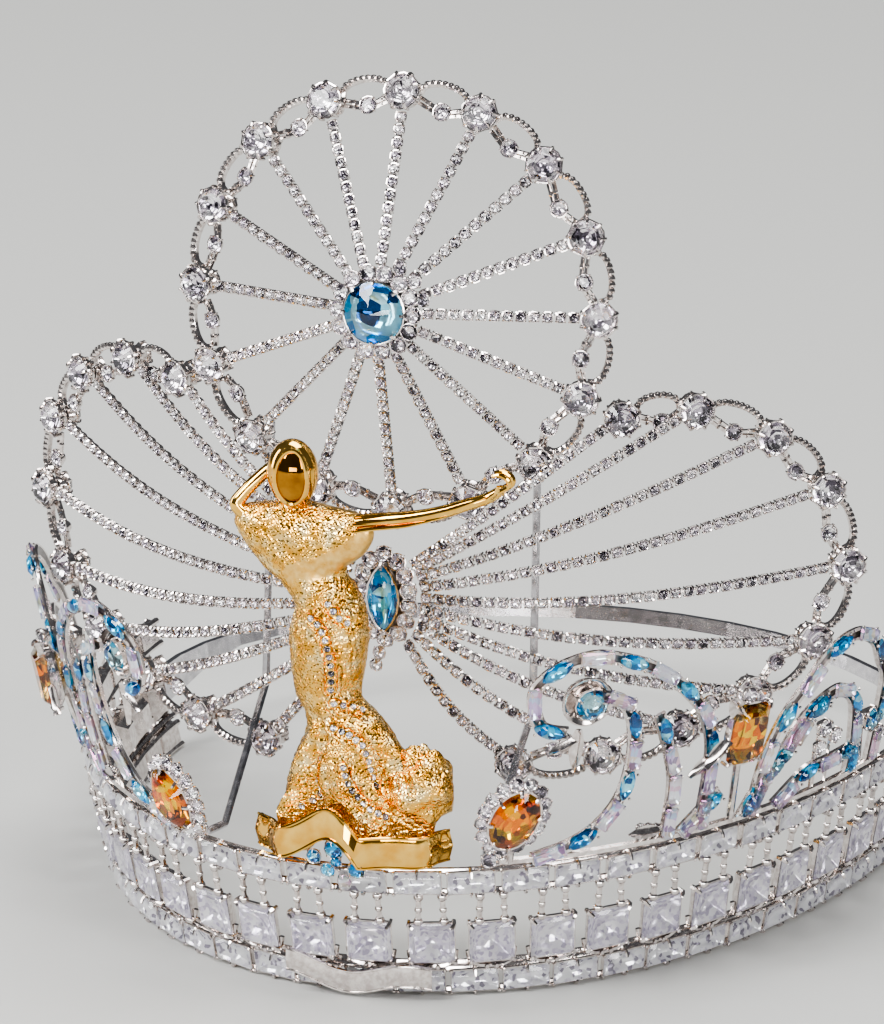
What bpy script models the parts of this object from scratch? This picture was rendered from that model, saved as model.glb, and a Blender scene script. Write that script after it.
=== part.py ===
import bpy
import bmesh
from math import atan2, cos, pi, radians, sin
from mathutils import Matrix, Vector

for thing in list(bpy.data.objects):
    bpy.data.objects.remove(thing)

MM = 0.001
GAP = 0.3 * MM  # between neighbouring pieces

# Band: an ellipse, longer in front than behind, whose wall leans outward
BAND_HALF_WIDTH = 79.6 * MM
BAND_FRONT_REACH = 113.8 * MM
BAND_BACK_REACH = 64.0 * MM
BAND_FLARE = 0.204  # outward travel for each unit of height
ROW_END_ANGLE = radians(96)
BAND_STATIONS = 24
RIBBON_ROOM = 2.6 * MM  # the silver ribbon stands this far before the wall

# Three rows of stones
BAR_ROW_HEIGHT = 6.0 * MM
BAR_STONE_LENGTH = 8.8 * MM
BAR_STONE_HEIGHT = 4.6 * MM
BAR_STONE_PITCH = 10.3 * MM
BAR_STONE_DEPTH = 1.8 * MM
SQUARE_ROW_HEIGHT = 11.6 * MM
SQUARE_STONE_SIZE = 8.6 * MM
SQUARE_STONE_DEPTH = 2.6 * MM
SQUARE_CUP_SIZE = 9.4 * MM
SQUARE_CUP_DEPTH = 3.4 * MM
SQUARE_STONE_PITCH = 12.0 * MM
SQUARE_RAIL_HEIGHT = 1.2 * MM
POST_HEIGHT = 3.4 * MM
POST_HALF_WIDTH = 2.2 * MM
POST_HALF_DEPTH = 0.7 * MM
ROW_WALL = 1.8 * MM
FOOT_LIP = 1.5 * MM

# Plain strip behind the head
STRIP_LOW = 12.0 * MM
STRIP_HEIGHT = 7.0 * MM
STRIP_NARROW_HEIGHT = 2.8 * MM
STRIP_NARROWS_OVER = radians(16)  # past the ends of the rows
STRIP_WALL = 1.2 * MM
STRIP_OVERLAP = radians(6)
STRIP_STATIONS = 22

# Ribbons
SILVER_RIBBON_HEIGHT = 4.4 * MM
SILVER_RIBBON_START = -9.2 * MM
SILVER_RIBBON_END = 17.4 * MM
SILVER_RIBBON_LOW = 0.8 * MM
SILVER_RIBBON_WAVE = (2.1 * MM, 1.1 * MM)  # half the rise at the left end, and its loss by the right end
SILVER_RIBBON_WAVE_LENGTH = 0.86  # share of the ribbon
GOLD_RIBBON_HEIGHT = 6.2 * MM
GOLD_RIBBON_TURNS = (-78, 88)  # degrees round the foot of the figure
GOLD_RIBBON_ARCH = 5.2 * MM
GOLD_RIBBON_ARCH_TURNS = (-42, 12)
GOLD_RIBBON_ARCH_SKEW = 1.7  # over 1, the arch falls more steeply at its right end
RIBBON_WALL = 0.9 * MM

# Round stones in double claw cups
CUP_RADIUS = 3.6 * MM
CUP_BACK_RADIUS = 2.6 * MM
CUP_HALF_DEPTH = 3.9 * MM
CUP_FACE = 1.8 * MM
ROUND_STONE_RADIUS = 3.5 * MM
ROUND_STONE_HEIGHT = 1.9 * MM
GIRDLE = 0.45 * MM
TABLE_SHARE = 0.55

# Lobes: fans of spokes on a sheet swept back to the sides, over the band's own plan
LOBE_REACH = BAND_HALF_WIDTH * 1.0302
LOBE_RISE = 72.0 * MM
LOBE_FRONT = BAND_FRONT_REACH * 0.7786
LOBE_SWEEP = BAND_FRONT_REACH * 0.3102
LOBE_OVER_BAND = 10.4 * MM
LOBE_BOW = 4.3 * MM
LOBE_PLACES = (  # share of the reach, share of the rise
    (0.545, 0.985),
    (0.700, 0.995),
    (0.855, 0.900),
    (0.960, 0.735),
    (1.000, 0.515),
    (0.935, 0.315),
    (0.815, 0.185),
    (0.665, 0.105),
    (0.500, 0.040),
    (0.305, 0.020),
)
STRUT_RADIUS = 0.8 * MM
STRUT_KNEE = (2.4 * MM, 4.5 * MM, 9.0 * MM)  # outward, back and up from the lobe's lowest cup
STRUT_FOOT_ANGLE = radians(19.5)
STRUT_HEEL = 4.0 * MM  # how far inside the band the rod comes down

# Wheel, over the middle of the lobes
WHEEL_RADIUS = LOBE_REACH * 0.4915
WHEEL_OVER_LOBES = LOBE_RISE * 1.25
WHEEL_FRONT = BAND_FRONT_REACH * 0.6828
WHEEL_LEAN = radians(7)
WHEEL_STONES = 16
HUB_FORWARD = 14.2 * MM
HUB_STONE_RADIUS = 6.0 * MM
HUB_STONE_HEIGHT = 3.3 * MM
HUB_STONE_TIP = 0.8 * MM
HUB_HALO_COUNT = 14
HALO_STONE_RADIUS = 1.7 * MM
HALO_DEPTH = 2.2 * MM
SPOKE_RADIUS = 1.0 * MM
LINK_RADIUS = 0.8 * MM
LINK_RISE = 2.9 * MM
LINK_INSET = 1.1 * MM

# Pointed stone under the wheel
MARQUISE_OVER_BAND = 43.9 * MM
MARQUISE_HALF_LENGTH = 6.5 * MM
MARQUISE_HALF_WIDTH = 3.1 * MM
MARQUISE_STONE_HEIGHT = 2.3 * MM
MARQUISE_HALO_COUNT = 12

# Amber flowers
AMBER_HALF_LENGTH = 6.0 * MM
AMBER_HALF_WIDTH = 4.3 * MM
AMBER_HALF_DEPTH = 3.0 * MM
AMBER_STAND_OFF = 5.0 * MM
AMBER_HALO_COUNT = 11
AMBER_FLOWERS = {  # degrees round the band at stem and stone, share of the scrolls' rise, lean, halo
    "right_1": (22.3, 22.6, 0.282, -28.0, True),
    "right_2": (50.3, 49.0, 0.518, -6.0, False),
    "left_1": (-21.4, -20.9, 0.22, 28.0, True),
    "left_2": (-50.2, -49.3, 0.44, 6.0, False),
}

# Scrolls of coloured stones on the flaring surface over the band
SCROLL_RISE = 43.6 * MM
SCROLL_LEAN = 3.0 * MM  # further outward at full rise
SCROLL_WIRE_RADIUS = 0.8 * MM
SCROLL_STONE_HALF_LENGTH = 2.2 * MM
SCROLL_STONE_HALF_WIDTH = 1.3 * MM
SCROLL_STONE_DEPTH = 2.2 * MM
SCROLL_STONE_PITCH = 7.4 * MM
SCROLL_STEPS = 8  # finer points between two chosen places
SCROLL_FOOT_ANGLES = (20.5, 73.0)
SCROLL_CURVES = (  # degrees round the band, share of the rise
    ((25.0, 0.0), (29.6, 0.05), (33.0, 0.13), (35.4, 0.26), (36.4, 0.44), (36.2, 0.62), (34.8, 0.75),
     (32.6, 0.79)),
    ((28.6, 0.63), (25.6, 0.68), (24.9, 0.85), (27.5, 0.96), (31.2, 1.0), (34.8, 0.96), (38.2, 0.89),
     (41.4, 0.78), (44.2, 0.64), (45.8, 0.48), (46.2, 0.30), (46.0, 0.0)),
    ((39.2, 0.65), (41.0, 0.43), (41.8, 0.27), (41.6, 0.0)),
    ((43.4, 0.0), (46.4, 0.11), (48.4, 0.17)),
    ((51.8, 0.0), (54.6, 0.19), (57.3, 0.29), (59.4, 0.41), (61.9, 0.47)),
    ((53.2, 0.0), (53.6, 0.20), (54.6, 0.36), (56.0, 0.48), (58.2, 0.59), (60.0, 0.69), (62.5, 0.75),
     (65.2, 0.75), (67.8, 0.68), (69.6, 0.56), (71.6, 0.42), (72.4, 0.0)),
    ((56.5, 0.0), (60.5, 0.11), (64.0, 0.12), (69.0, 0.13)),
)
BOWL_ANGLE = 31.0
BOWL_SHARE = 0.78
BOWL_RADIUS = 5.2 * MM
BOWL_RINGS = (  # share of the radius, then height as a share of the radius
    (0.4, -0.385),
    (1.0, 0.077),
    (0.7, 0.115),
    (0.4, 0.423),
)

# Gold figure: height shares and half sizes as shares of the figure's height
FIGURE_HEIGHT = 82.0 * MM
FIGURE_SETBACK = 2.8 * MM
FIGURE_SECTIONS = (  # height, sideways, half width, half depth
    (0.000, 0.010, 0.196, 0.098),
    (0.060, 0.020, 0.207, 0.104),
    (0.115, 0.033, 0.202, 0.102),
    (0.160, 0.022, 0.182, 0.098),
    (0.215, 0.011, 0.148, 0.092),
    (0.285, 0.013, 0.114, 0.082),
    (0.335, -0.010, 0.090, 0.070),
    (0.375, -0.041, 0.078, 0.066),
    (0.440, -0.043, 0.087, 0.073),
    (0.530, -0.039, 0.095, 0.078),
    (0.600, -0.036, 0.084, 0.068),
    (0.650, -0.064, 0.091, 0.060),
    (0.685, -0.098, 0.102, 0.058),
    (0.735, -0.094, 0.147, 0.060),
    (0.785, -0.097, 0.168, 0.056),
    (0.825, -0.104, 0.148, 0.040),
    (0.842, -0.114, 0.040, 0.028),
)
FIGURE_SIDES = 10
HEAD_CENTRE = (-0.125, 0.917)
HEAD_HALF_WIDTH = 4.5 * MM
HEAD_HALF_HEIGHT = 6.9 * MM
ARM_RADIUS = 1.7 * MM
RAISED_ARM = ((-0.215, 0.0, 0.795), (-0.258, -0.01, 0.825), (-0.234, 0.01, 0.861), (-0.165, 0.045, 0.93))
STRETCHED_ARM = (
    (0.03, 0.0, 0.80),
    (0.104, -0.015, 0.814),
    (0.236, -0.015, 0.847),
    (0.346, 0.01, 0.89),
    (0.402, 0.018, 0.935),
)
TRAIN_CENTRE = (0.200, 0.0, 0.190)
TRAIN_RADIUS = 5.6 * MM

SILVER = ((0.76, 0.74, 0.72, 1), 0.18, 1.0)
GOLD = ((0.86, 0.60, 0.22, 1), 0.22, 1.0)
CRYSTAL = ((0.88, 0.90, 0.94, 1), 0.05, 0.0)
AQUA = ((0.03, 0.36, 0.62, 1), 0.05, 0.0)
AMBER = ((0.85, 0.25, 0.01, 1), 0.05, 0.0)

crown = bpy.data.collections.new("carnival_crown")
cutters = bpy.data.collections.new("cutters")
bpy.context.scene.collection.children.link(crown)
bpy.context.scene.collection.children.link(cutters)


def polygon(sides):
    """Points of a regular outline of radius one, starting half a side round."""
    return [(cos(pi * (2 * i + 1) / sides), sin(pi * (2 * i + 1) / sides)) for i in range(sides)]


SQUARE = ((1, 1), (-1, 1), (-1, -1), (1, -1))
ROUND = polygon(8)
POINTED = ((1, 0), (0.7, 0.55), (0, 1), (-0.7, 0.55), (-1, 0), (-0.7, -0.55), (0, -1), (0.7, -0.55))

# Heights that stack up the band
SQUARE_ROW_LOW = BAR_ROW_HEIGHT + GAP
TOP_ROW_LOW = SQUARE_ROW_LOW + SQUARE_ROW_HEIGHT + POST_HEIGHT + GAP
BAND_TOP = TOP_ROW_LOW + BAR_ROW_HEIGHT
FIGURE_LOW = BAND_TOP + GAP
LOBE_LOW = BAND_TOP + LOBE_OVER_BAND
WHEEL_HEIGHT = LOBE_LOW + WHEEL_OVER_LOBES
MARQUISE_HEIGHT = BAND_TOP + MARQUISE_OVER_BAND
FIGURE_FRONT = BAND_FRONT_REACH - FIGURE_SETBACK

# The whole crown is moved back so that its box is centred over the origin
FRONT_MOST = BAND_FRONT_REACH + BAND_FLARE * BAND_TOP + RIBBON_ROOM
BACK_MOST = BAND_BACK_REACH + BAND_FLARE * (STRIP_LOW + STRIP_HEIGHT) - ROW_WALL - GAP
CENTRE_SHIFT = (FRONT_MOST - BACK_MOST) / 2


def band_point(angle, height, out=0.0):
    """A point on the flaring wall of the band; angle 0 is the front, positive to the right."""
    spread = BAND_FLARE * height + out
    reach = BAND_FRONT_REACH if cos(angle) > 0 else BAND_BACK_REACH
    return Vector(((BAND_HALF_WIDTH + spread) * sin(angle), -(reach + spread) * cos(angle), height))


def placed(origin, normal, up, turn=0.0):
    """A matrix at origin whose local Z is the normal and whose local Y leans to up."""
    z = Vector(normal).normalized()
    x = Vector(up).cross(z).normalized()
    matrix = Matrix((x, z.cross(x), z)).transposed().to_4x4()
    matrix.translation = origin
    return matrix @ Matrix.Rotation(turn, 4, "Z")


def band_frame(angle, height, out=0.0, turn=0.0):
    """A matrix on the band's wall, local X along the band, Y up the wall, Z outward."""
    step = 0.01
    along = band_point(angle + step, height, out) - band_point(angle - step, height, out)
    rise = band_point(angle, height + step) - band_point(angle, height)
    return placed(band_point(angle, height, out), along.cross(rise), rise, turn)


def even_angles(pitch, height):
    """Angles of the stones that fill a row at an even spacing near the pitch."""
    steps = 600
    angles = [ROW_END_ANGLE * (2 * i / steps - 1) for i in range(steps + 1)]
    points = [band_point(angle, height) for angle in angles]
    travel = [0.0]
    for first, second in zip(points, points[1:]):
        travel.append(travel[-1] + (second - first).length)
    count = 2 * round(travel[-1] / pitch / 2)
    found = []
    for i in range(count):
        target = (i + 0.5) * travel[-1] / count
        k = next(k for k, length in enumerate(travel) if length >= target)
        found.append(angles[k])
    return found


def add_solid(mesh, matrix, outline, rings):
    """A closed solid through scaled copies of an outline; a ring is (half x, half y, height)."""
    layers = [
        [mesh.verts.new(matrix @ Vector((x * a, y * b, z))) for x, y in outline]
        for a, b, z in rings
    ]
    count = len(outline)
    mesh.faces.new(layers[0][::-1])
    mesh.faces.new(layers[-1])
    for low, high in zip(layers, layers[1:]):
        for i in range(count):
            j = (i + 1) % count
            mesh.faces.new((low[i], low[j], high[j], high[i]))


def add_strip(mesh, stations):
    """A closed bar through four-cornered sections."""
    layers = [[mesh.verts.new(corner) for corner in station] for station in stations]
    mesh.faces.new(layers[0])
    mesh.faces.new(layers[-1][::-1])
    for low, high in zip(layers, layers[1:]):
        for i in range(4):
            j = (i + 1) % 4
            mesh.faces.new((low[j], low[i], high[i], high[j]))


def add_band_strip(mesh, start, end, low, high, inner, outer, stations=BAND_STATIONS, lip=0.0):
    """A bar along the band between two angles, two heights and two distances from its wall."""
    angles = [start + (end - start) * i / stations for i in range(stations + 1)]
    sides = ((low, inner), (low, outer + lip), (high, outer), (high, inner))
    add_strip(mesh, [[band_point(a, height, out) for height, out in sides] for a in angles])


def add_wires(mesh, routes, radius, resolution=1):
    """Round wires along lists of points; a point may hold its own share of the radius."""
    curve = bpy.data.curves.new("wire", "CURVE")
    curve.dimensions = "3D"
    curve.bevel_depth = radius
    curve.bevel_resolution = resolution
    curve.use_fill_caps = True
    for route in routes:
        spline = curve.splines.new("POLY")
        spline.points.add(len(route) - 1)
        for point, place in zip(spline.points, route):
            point.co = (place[0], place[1], place[2], 1)
            point.radius = place[3] if len(place) > 3 else 1
    holder = bpy.data.objects.new("wire", curve)
    bpy.context.scene.collection.objects.link(holder)
    made = bpy.data.meshes.new_from_object(holder.evaluated_get(bpy.context.evaluated_depsgraph_get()))
    mesh.from_mesh(made)
    bmesh.ops.remove_doubles(mesh, verts=mesh.verts, dist=1e-6)
    bpy.data.objects.remove(holder)
    bpy.data.meshes.remove(made)


def add_round_stone(mesh, matrix, radius, low, high):
    """A round stone: a table and eight facets."""
    table = radius * TABLE_SHARE
    add_solid(mesh, matrix, ROUND, ((radius, radius, low), (table, table, high)))


def add_step_stone(mesh, matrix, half_x, half_y, depth, low):
    """A step cut stone: a table and two rows of four facets."""
    shoulder = low + depth * 0.6
    add_solid(mesh, matrix, SQUARE, (
        (half_x, half_y, low),
        (half_x * 0.9, half_y * 0.86, shoulder),
        (half_x * 0.66, half_y * 0.56, low + depth),
    ))


def add_double_cup(mesh, matrix):
    """A cup with a flat front face for its stone, narrower behind where a second stone is set."""
    add_solid(mesh, matrix, ROUND, (
        (CUP_BACK_RADIUS, CUP_BACK_RADIUS, -CUP_HALF_DEPTH),
        (CUP_RADIUS, CUP_RADIUS, CUP_FACE),
    ))


def material(name, finish):
    made = bpy.data.materials.new(name)
    made.use_nodes = True
    shader = made.node_tree.nodes["Principled BSDF"]
    shader.inputs["Base Color"].default_value = finish[0]
    shader.inputs["Roughness"].default_value = finish[1]
    shader.inputs["Metallic"].default_value = finish[2]
    return made


def add_object(name, mesh, collection):
    """An object from a bmesh, moved back by the centring shift."""
    bmesh.ops.recalc_face_normals(mesh, faces=mesh.faces)
    data = bpy.data.meshes.new(name)
    mesh.to_mesh(data)
    mesh.free()
    made = bpy.data.objects.new(name, data)
    made.location.y = CENTRE_SHIFT
    collection.objects.link(made)
    return made


def piece(name, mesh, finish):
    """A piece that is one closed solid as it stands."""
    made = add_object(name, mesh, crown)
    made.data.materials.append(material(name, finish))
    return made


def fused_piece(name, core, additions, finish):
    """A piece soldered from many overlapping solids."""
    made = piece(name, core, finish)
    other = add_object(f"{name}_additions", additions, cutters)
    other.hide_render = True
    other.display_type = "WIRE"
    join = made.modifiers.new("union", "BOOLEAN")
    join.operation = "UNION"
    join.solver = "EXACT"
    join.use_self = True
    join.object = other
    return made


def build_bar_row(name, low):
    """A row of long step cut stones on a wall; the lowest row has a foot lip."""
    core = bmesh.new()
    stones = bmesh.new()
    high = low + BAR_ROW_HEIGHT
    lip = FOOT_LIP if low == 0.0 else 0.0
    add_band_strip(core, -ROW_END_ANGLE, ROW_END_ANGLE, low, high, -ROW_WALL, 0.0, lip=lip)
    middle = (low + high) / 2
    for angle in even_angles(BAR_STONE_PITCH, middle):
        add_step_stone(stones, band_frame(angle, middle), BAR_STONE_LENGTH / 2, BAR_STONE_HEIGHT / 2,
                       BAR_STONE_DEPTH + ROW_WALL / 3, -ROW_WALL / 3)
    fused_piece(name, core, stones, CRYSTAL)


def build_square_row():
    """Deep square settings on a low rail, each with two posts up to the top row."""
    core = bmesh.new()
    settings = bmesh.new()
    low = SQUARE_ROW_LOW
    add_band_strip(core, -ROW_END_ANGLE, ROW_END_ANGLE, low, low + SQUARE_RAIL_HEIGHT, -ROW_WALL, 0.0)
    half = SQUARE_CUP_SIZE / 2
    middle = low + SQUARE_RAIL_HEIGHT / 2 + half
    stone = SQUARE_STONE_SIZE / 2
    post_low = middle + half - 0.5 * MM
    post_high = low + SQUARE_ROW_HEIGHT + POST_HEIGHT
    for angle in even_angles(SQUARE_STONE_PITCH, middle):
        frame = band_frame(angle, middle)
        add_solid(settings, frame, SQUARE, (
            (half * 0.5, half * 0.5, -ROW_WALL),
            (half, half, ROW_WALL - SQUARE_CUP_DEPTH / 2),
            (stone, stone, SQUARE_CUP_DEPTH / 2),
            (stone * 0.6, stone * 0.6, SQUARE_CUP_DEPTH / 2 + SQUARE_STONE_DEPTH * 0.4),
        ))
        foot = band_point(angle, post_low, -ROW_WALL / 3)
        top = band_point(angle, post_high, -ROW_WALL / 3)
        add_strip(settings, [post_section(foot, angle), post_section(top, angle)])
    fused_piece("square_row", core, settings, CRYSTAL)


def post_section(centre, angle):
    """Four corners of a post's level section, square to the band."""
    along = Vector((cos(angle), sin(angle), 0)) * POST_HALF_WIDTH
    across = Vector((sin(angle), -cos(angle), 0)) * POST_HALF_DEPTH
    return (
        centre - along - across, centre - along + across, centre + along + across, centre + along - across,
    )


def build_back_strip():
    """The plain strip that closes the ring, wide inside the ends of the square row and narrow behind."""
    mesh = bmesh.new()
    start = ROW_END_ANGLE - STRIP_OVERLAP
    outer = -ROW_WALL - GAP
    high = STRIP_LOW + STRIP_HEIGHT
    stations = []
    for i in range(STRIP_STATIONS + 1):
        angle = start + 2 * (pi - start) * i / STRIP_STATIONS
        past_rows = min(angle, 2 * pi - angle) - ROW_END_ANGLE
        narrowing = min(1.0, max(0.0, past_rows / STRIP_NARROWS_OVER))
        low = STRIP_LOW + (STRIP_HEIGHT - STRIP_NARROW_HEIGHT) * narrowing
        sides = ((low, outer - STRIP_WALL), (low, outer), (high, outer), (high, outer - STRIP_WALL))
        stations.append([band_point(angle, height, out) for height, out in sides])
    add_strip(mesh, stations)
    piece("back_strip", mesh, SILVER)


def ribbon_strip(points, height, wall):
    """A standing strip through (place, outward) pairs of its low edge."""
    return [(p - o * wall / 2, p + o * wall / 2, p + o * wall / 2 + Vector((0, 0, height)),
             p - o * wall / 2 + Vector((0, 0, height))) for p, o in points]


def build_silver_ribbon():
    """A bare ribbon that waves along the front of the bottom row."""
    mesh = bmesh.new()
    steps = 14
    points = []
    rise, fade = SILVER_RIBBON_WAVE
    for i in range(steps + 1):
        share = i / steps
        x = SILVER_RIBBON_START + (SILVER_RIBBON_END - SILVER_RIBBON_START) * share
        angle = x / BAND_HALF_WIDTH
        lift = (1 + cos(2 * pi * share / SILVER_RIBBON_WAVE_LENGTH)) * (rise - fade * share)
        out = BAR_STONE_DEPTH + 2 * GAP + RIBBON_WALL * 0.9 + lift * 0.45  # clears the square cups
        lift += SILVER_RIBBON_LOW
        points.append((band_point(angle, lift, out), Vector((sin(angle), -cos(angle), 0))))
    add_strip(mesh, ribbon_strip(points, SILVER_RIBBON_HEIGHT, RIBBON_WALL))
    piece("silver_ribbon", mesh, SILVER)


def wheel_matrix():
    """The wheel's plane: local X to the right, Y up, Z to the front."""
    return placed(Vector((0, -WHEEL_FRONT, WHEEL_HEIGHT)), (0, -cos(WHEEL_LEAN), sin(WHEEL_LEAN)), (0, 0, 1))


def wheel_places():
    """A matrix for each ring stone, clockwise from the top, tilted out with the shallow cone."""
    plane = wheel_matrix()
    cone = atan2(HUB_FORWARD, WHEEL_RADIUS)
    places = []
    for i in range(WHEEL_STONES):
        turn = pi / 2 - 2 * pi * i / WHEEL_STONES
        radial = Vector((cos(turn), sin(turn), 0))
        normal = plane.to_3x3() @ (radial * sin(cone) + Vector((0, 0, cos(cone))))
        outward = plane.to_3x3() @ radial
        places.append(placed(plane @ (radial * WHEEL_RADIUS), normal, outward))
    return places


def lobe_point(x, z, forward=0.0):
    """A point on the sheet that both lobes lie on."""
    return Vector((x, -LOBE_FRONT + LOBE_SWEEP * (x / LOBE_REACH) ** 2 - forward, z))


def lobe_places(side):
    """A matrix for each outer stone of a lobe, from beside the wheel round to the band."""
    places = []
    for across, up in LOBE_PLACES:
        x = side * LOBE_REACH * across
        slope = 2 * LOBE_SWEEP * x / LOBE_REACH ** 2
        places.append(placed(lobe_point(x, LOBE_LOW + LOBE_RISE * up), (slope, -1, 0), (0, 0, 1)))
    return places


def add_link(first, second, centre, wires):
    """The link between two cups: a wire bowed outward and a straight one inside it."""
    start, end = first.translation, second.translation
    along = (end - start).normalized()
    middle = (start + end) / 2
    normal = (first.col[2] + second.col[2]).to_3d().normalized()
    outward = along.cross(normal).normalized()
    if outward.dot(middle - centre) < 0:
        outward.negate()
    near = CUP_RADIUS * 0.75
    span = (end - start).length - 2 * near
    wires.append([
        start + along * (near + span * i / 2) + outward * LINK_RISE * sin(pi * (0.12 + 0.38 * i))
        for i in range(3)
    ])
    wires.append([start + along * near - outward * LINK_INSET, end - along * near - outward * LINK_INSET])


def build_halo(mesh, matrix, count, half_x, half_y, depth):
    """Small round stones spaced evenly round an oval."""
    steps = 360
    turns = [2 * pi * i / steps for i in range(steps + 1)]
    ring = [Vector((half_x * cos(turn), half_y * sin(turn), 0)) for turn in turns]
    travel = [0.0]
    for first, second in zip(ring, ring[1:]):
        travel.append(travel[-1] + (second - first).length)
    for i in range(count):
        target = travel[-1] * i / count
        k = next(k for k, length in enumerate(travel) if length >= target)
        place = matrix @ Matrix.Translation(ring[k])
        add_round_stone(mesh, place, HALO_STONE_RADIUS, -depth, HALO_STONE_RADIUS * 0.6)


def build_wheel():
    """The ring of cups, its links, the spokes and the hub are one soldered frame."""
    core = bmesh.new()
    additions = bmesh.new()
    hub = wheel_matrix() @ Matrix.Translation((0, 0, HUB_FORWARD))
    seat = HUB_STONE_RADIUS + 2 * HALO_STONE_RADIUS
    add_solid(core, hub, polygon(16), ((seat * 0.8, seat * 0.8, -HALO_DEPTH), (seat * 0.9, seat * 0.9, 0)))
    build_halo(additions, hub, HUB_HALO_COUNT, HUB_STONE_RADIUS + HALO_STONE_RADIUS + GAP,
               HUB_STONE_RADIUS + HALO_STONE_RADIUS + GAP, HALO_DEPTH / 2)
    places = wheel_places()
    centre = hub.translation
    spokes, wires = [], []
    for i, place in enumerate(places):
        add_double_cup(additions, place)
        toward = (place.translation - centre).normalized()
        spokes.append([centre + toward * seat * 0.6 + hub.col[2].to_3d() * SPOKE_RADIUS / 2,
                       place.translation - toward * CUP_RADIUS * 0.6])
        add_link(place, places[(i + 1) % WHEEL_STONES], wheel_matrix().translation, wires)
    add_wires(additions, spokes, SPOKE_RADIUS, 0)
    add_wires(additions, wires, LINK_RADIUS, 0)
    fused_piece("wheel_frame", core, additions, SILVER)
    for number, place in enumerate(places, 1):
        stone = bmesh.new()
        add_round_stone(stone, place, ROUND_STONE_RADIUS, CUP_FACE + GAP, CUP_FACE + GAP + ROUND_STONE_HEIGHT)
        piece(f"wheel_stone_{number:02d}", stone, CRYSTAL)
    stone = bmesh.new()
    girdle = HUB_STONE_RADIUS - GAP
    add_solid(stone, hub, polygon(14), (
        (girdle, girdle, GAP),
        (girdle, girdle, GAP + GIRDLE),
        (HUB_STONE_TIP, HUB_STONE_TIP, GAP + HUB_STONE_HEIGHT),
    ))
    piece("hub_stone", stone, AQUA)


def marquise_frame():
    return placed(lobe_point(0, MARQUISE_HEIGHT), (0, -1, 0), (0, 0, 1))


def halo_reach():
    """Half sizes of the oval through the marquise's halo stones."""
    return MARQUISE_HALF_WIDTH + HALO_STONE_RADIUS, MARQUISE_HALF_LENGTH + HALO_STONE_RADIUS


def build_marquise():
    """The pointed stone's setting with its halo, and the stone."""
    frame = marquise_frame()
    half_x, half_y = halo_reach()
    core = bmesh.new()
    halo = bmesh.new()
    add_solid(core, frame, polygon(12), ((half_x, half_y, -HALO_DEPTH), (half_x, half_y, 0)))
    build_halo(halo, frame, MARQUISE_HALO_COUNT, half_x + GAP, half_y + GAP, HALO_DEPTH / 2)
    fused_piece("marquise_setting", core, halo, SILVER)
    stone = bmesh.new()
    wide, tall = MARQUISE_HALF_WIDTH - GAP, MARQUISE_HALF_LENGTH - GAP
    add_solid(stone, frame, POINTED, (
        (wide, tall, GAP),
        (wide, tall, GAP + GIRDLE),
        (wide * 0.45, tall * 0.55, GAP + MARQUISE_STONE_HEIGHT),
    ))
    piece("marquise_stone", stone, AQUA)


def build_lobe(side, label):
    """A fan of ten bowed spokes from beside the marquise out to a chain of cups."""
    centre = lobe_point(0, MARQUISE_HEIGHT)
    half_x, half_y = halo_reach()
    clear = HALO_STONE_RADIUS + 3 * GAP
    places = lobe_places(side)
    core = bmesh.new()
    additions = bmesh.new()
    add_double_cup(core, places[0])
    spokes, wires = [], []
    for i, place in enumerate(places):
        if i:
            add_double_cup(additions, place)
            add_link(places[i - 1], place, centre, wires)
        reach = place.translation - centre
        turn = atan2(reach.z, abs(reach.x))
        near_x = side * (half_x + clear) * cos(turn)
        near_z = MARQUISE_HEIGHT + (half_y + clear) * sin(turn)
        route = []
        for k in range(3):
            share = k / 2
            x = near_x + (place.translation.x - near_x) * share
            z = near_z + (place.translation.z - near_z) * share
            route.append(lobe_point(x, z, LOBE_BOW * sin(pi * share)))
        stop = (route[-1] - route[-2]).normalized()
        route[-1] = route[-1] - stop * CUP_RADIUS * 0.6
        spokes.append(route)
    add_wires(additions, spokes, SPOKE_RADIUS, 0)
    add_wires(additions, wires, LINK_RADIUS, 0)
    fused_piece(f"lobe_{label}", core, additions, SILVER)
    for number, place in enumerate(places, 1):
        stone = bmesh.new()
        add_round_stone(stone, place, ROUND_STONE_RADIUS, CUP_FACE + GAP, CUP_FACE + GAP + ROUND_STONE_HEIGHT)
        piece(f"lobe_stone_{label}_{number:02d}", stone, CRYSTAL)


def build_strut(side, label):
    """A thin rod from behind the wheel down behind the lobe and forward to the band."""
    behind = wheel_places()[6 if side > 0 else 10]
    last = lobe_places(side)[-1].translation
    room = CUP_HALF_DEPTH + STRUT_RADIUS + 3 * GAP
    top = behind @ Vector((0, 0, -room))
    knee = last + Vector((side * STRUT_KNEE[0], STRUT_KNEE[1], STRUT_KNEE[2]))
    angle = side * STRUT_FOOT_ANGLE
    foot = band_point(angle, BAND_TOP + GAP + STRUT_RADIUS, -ROW_WALL / 2)
    heel = band_point(angle, BAND_TOP + GAP + STRUT_RADIUS, -ROW_WALL - STRUT_HEEL)
    mesh = bmesh.new()
    add_wires(mesh, [[top, knee, heel, foot]], STRUT_RADIUS)
    piece(f"strut_{label}", mesh, SILVER)


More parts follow.
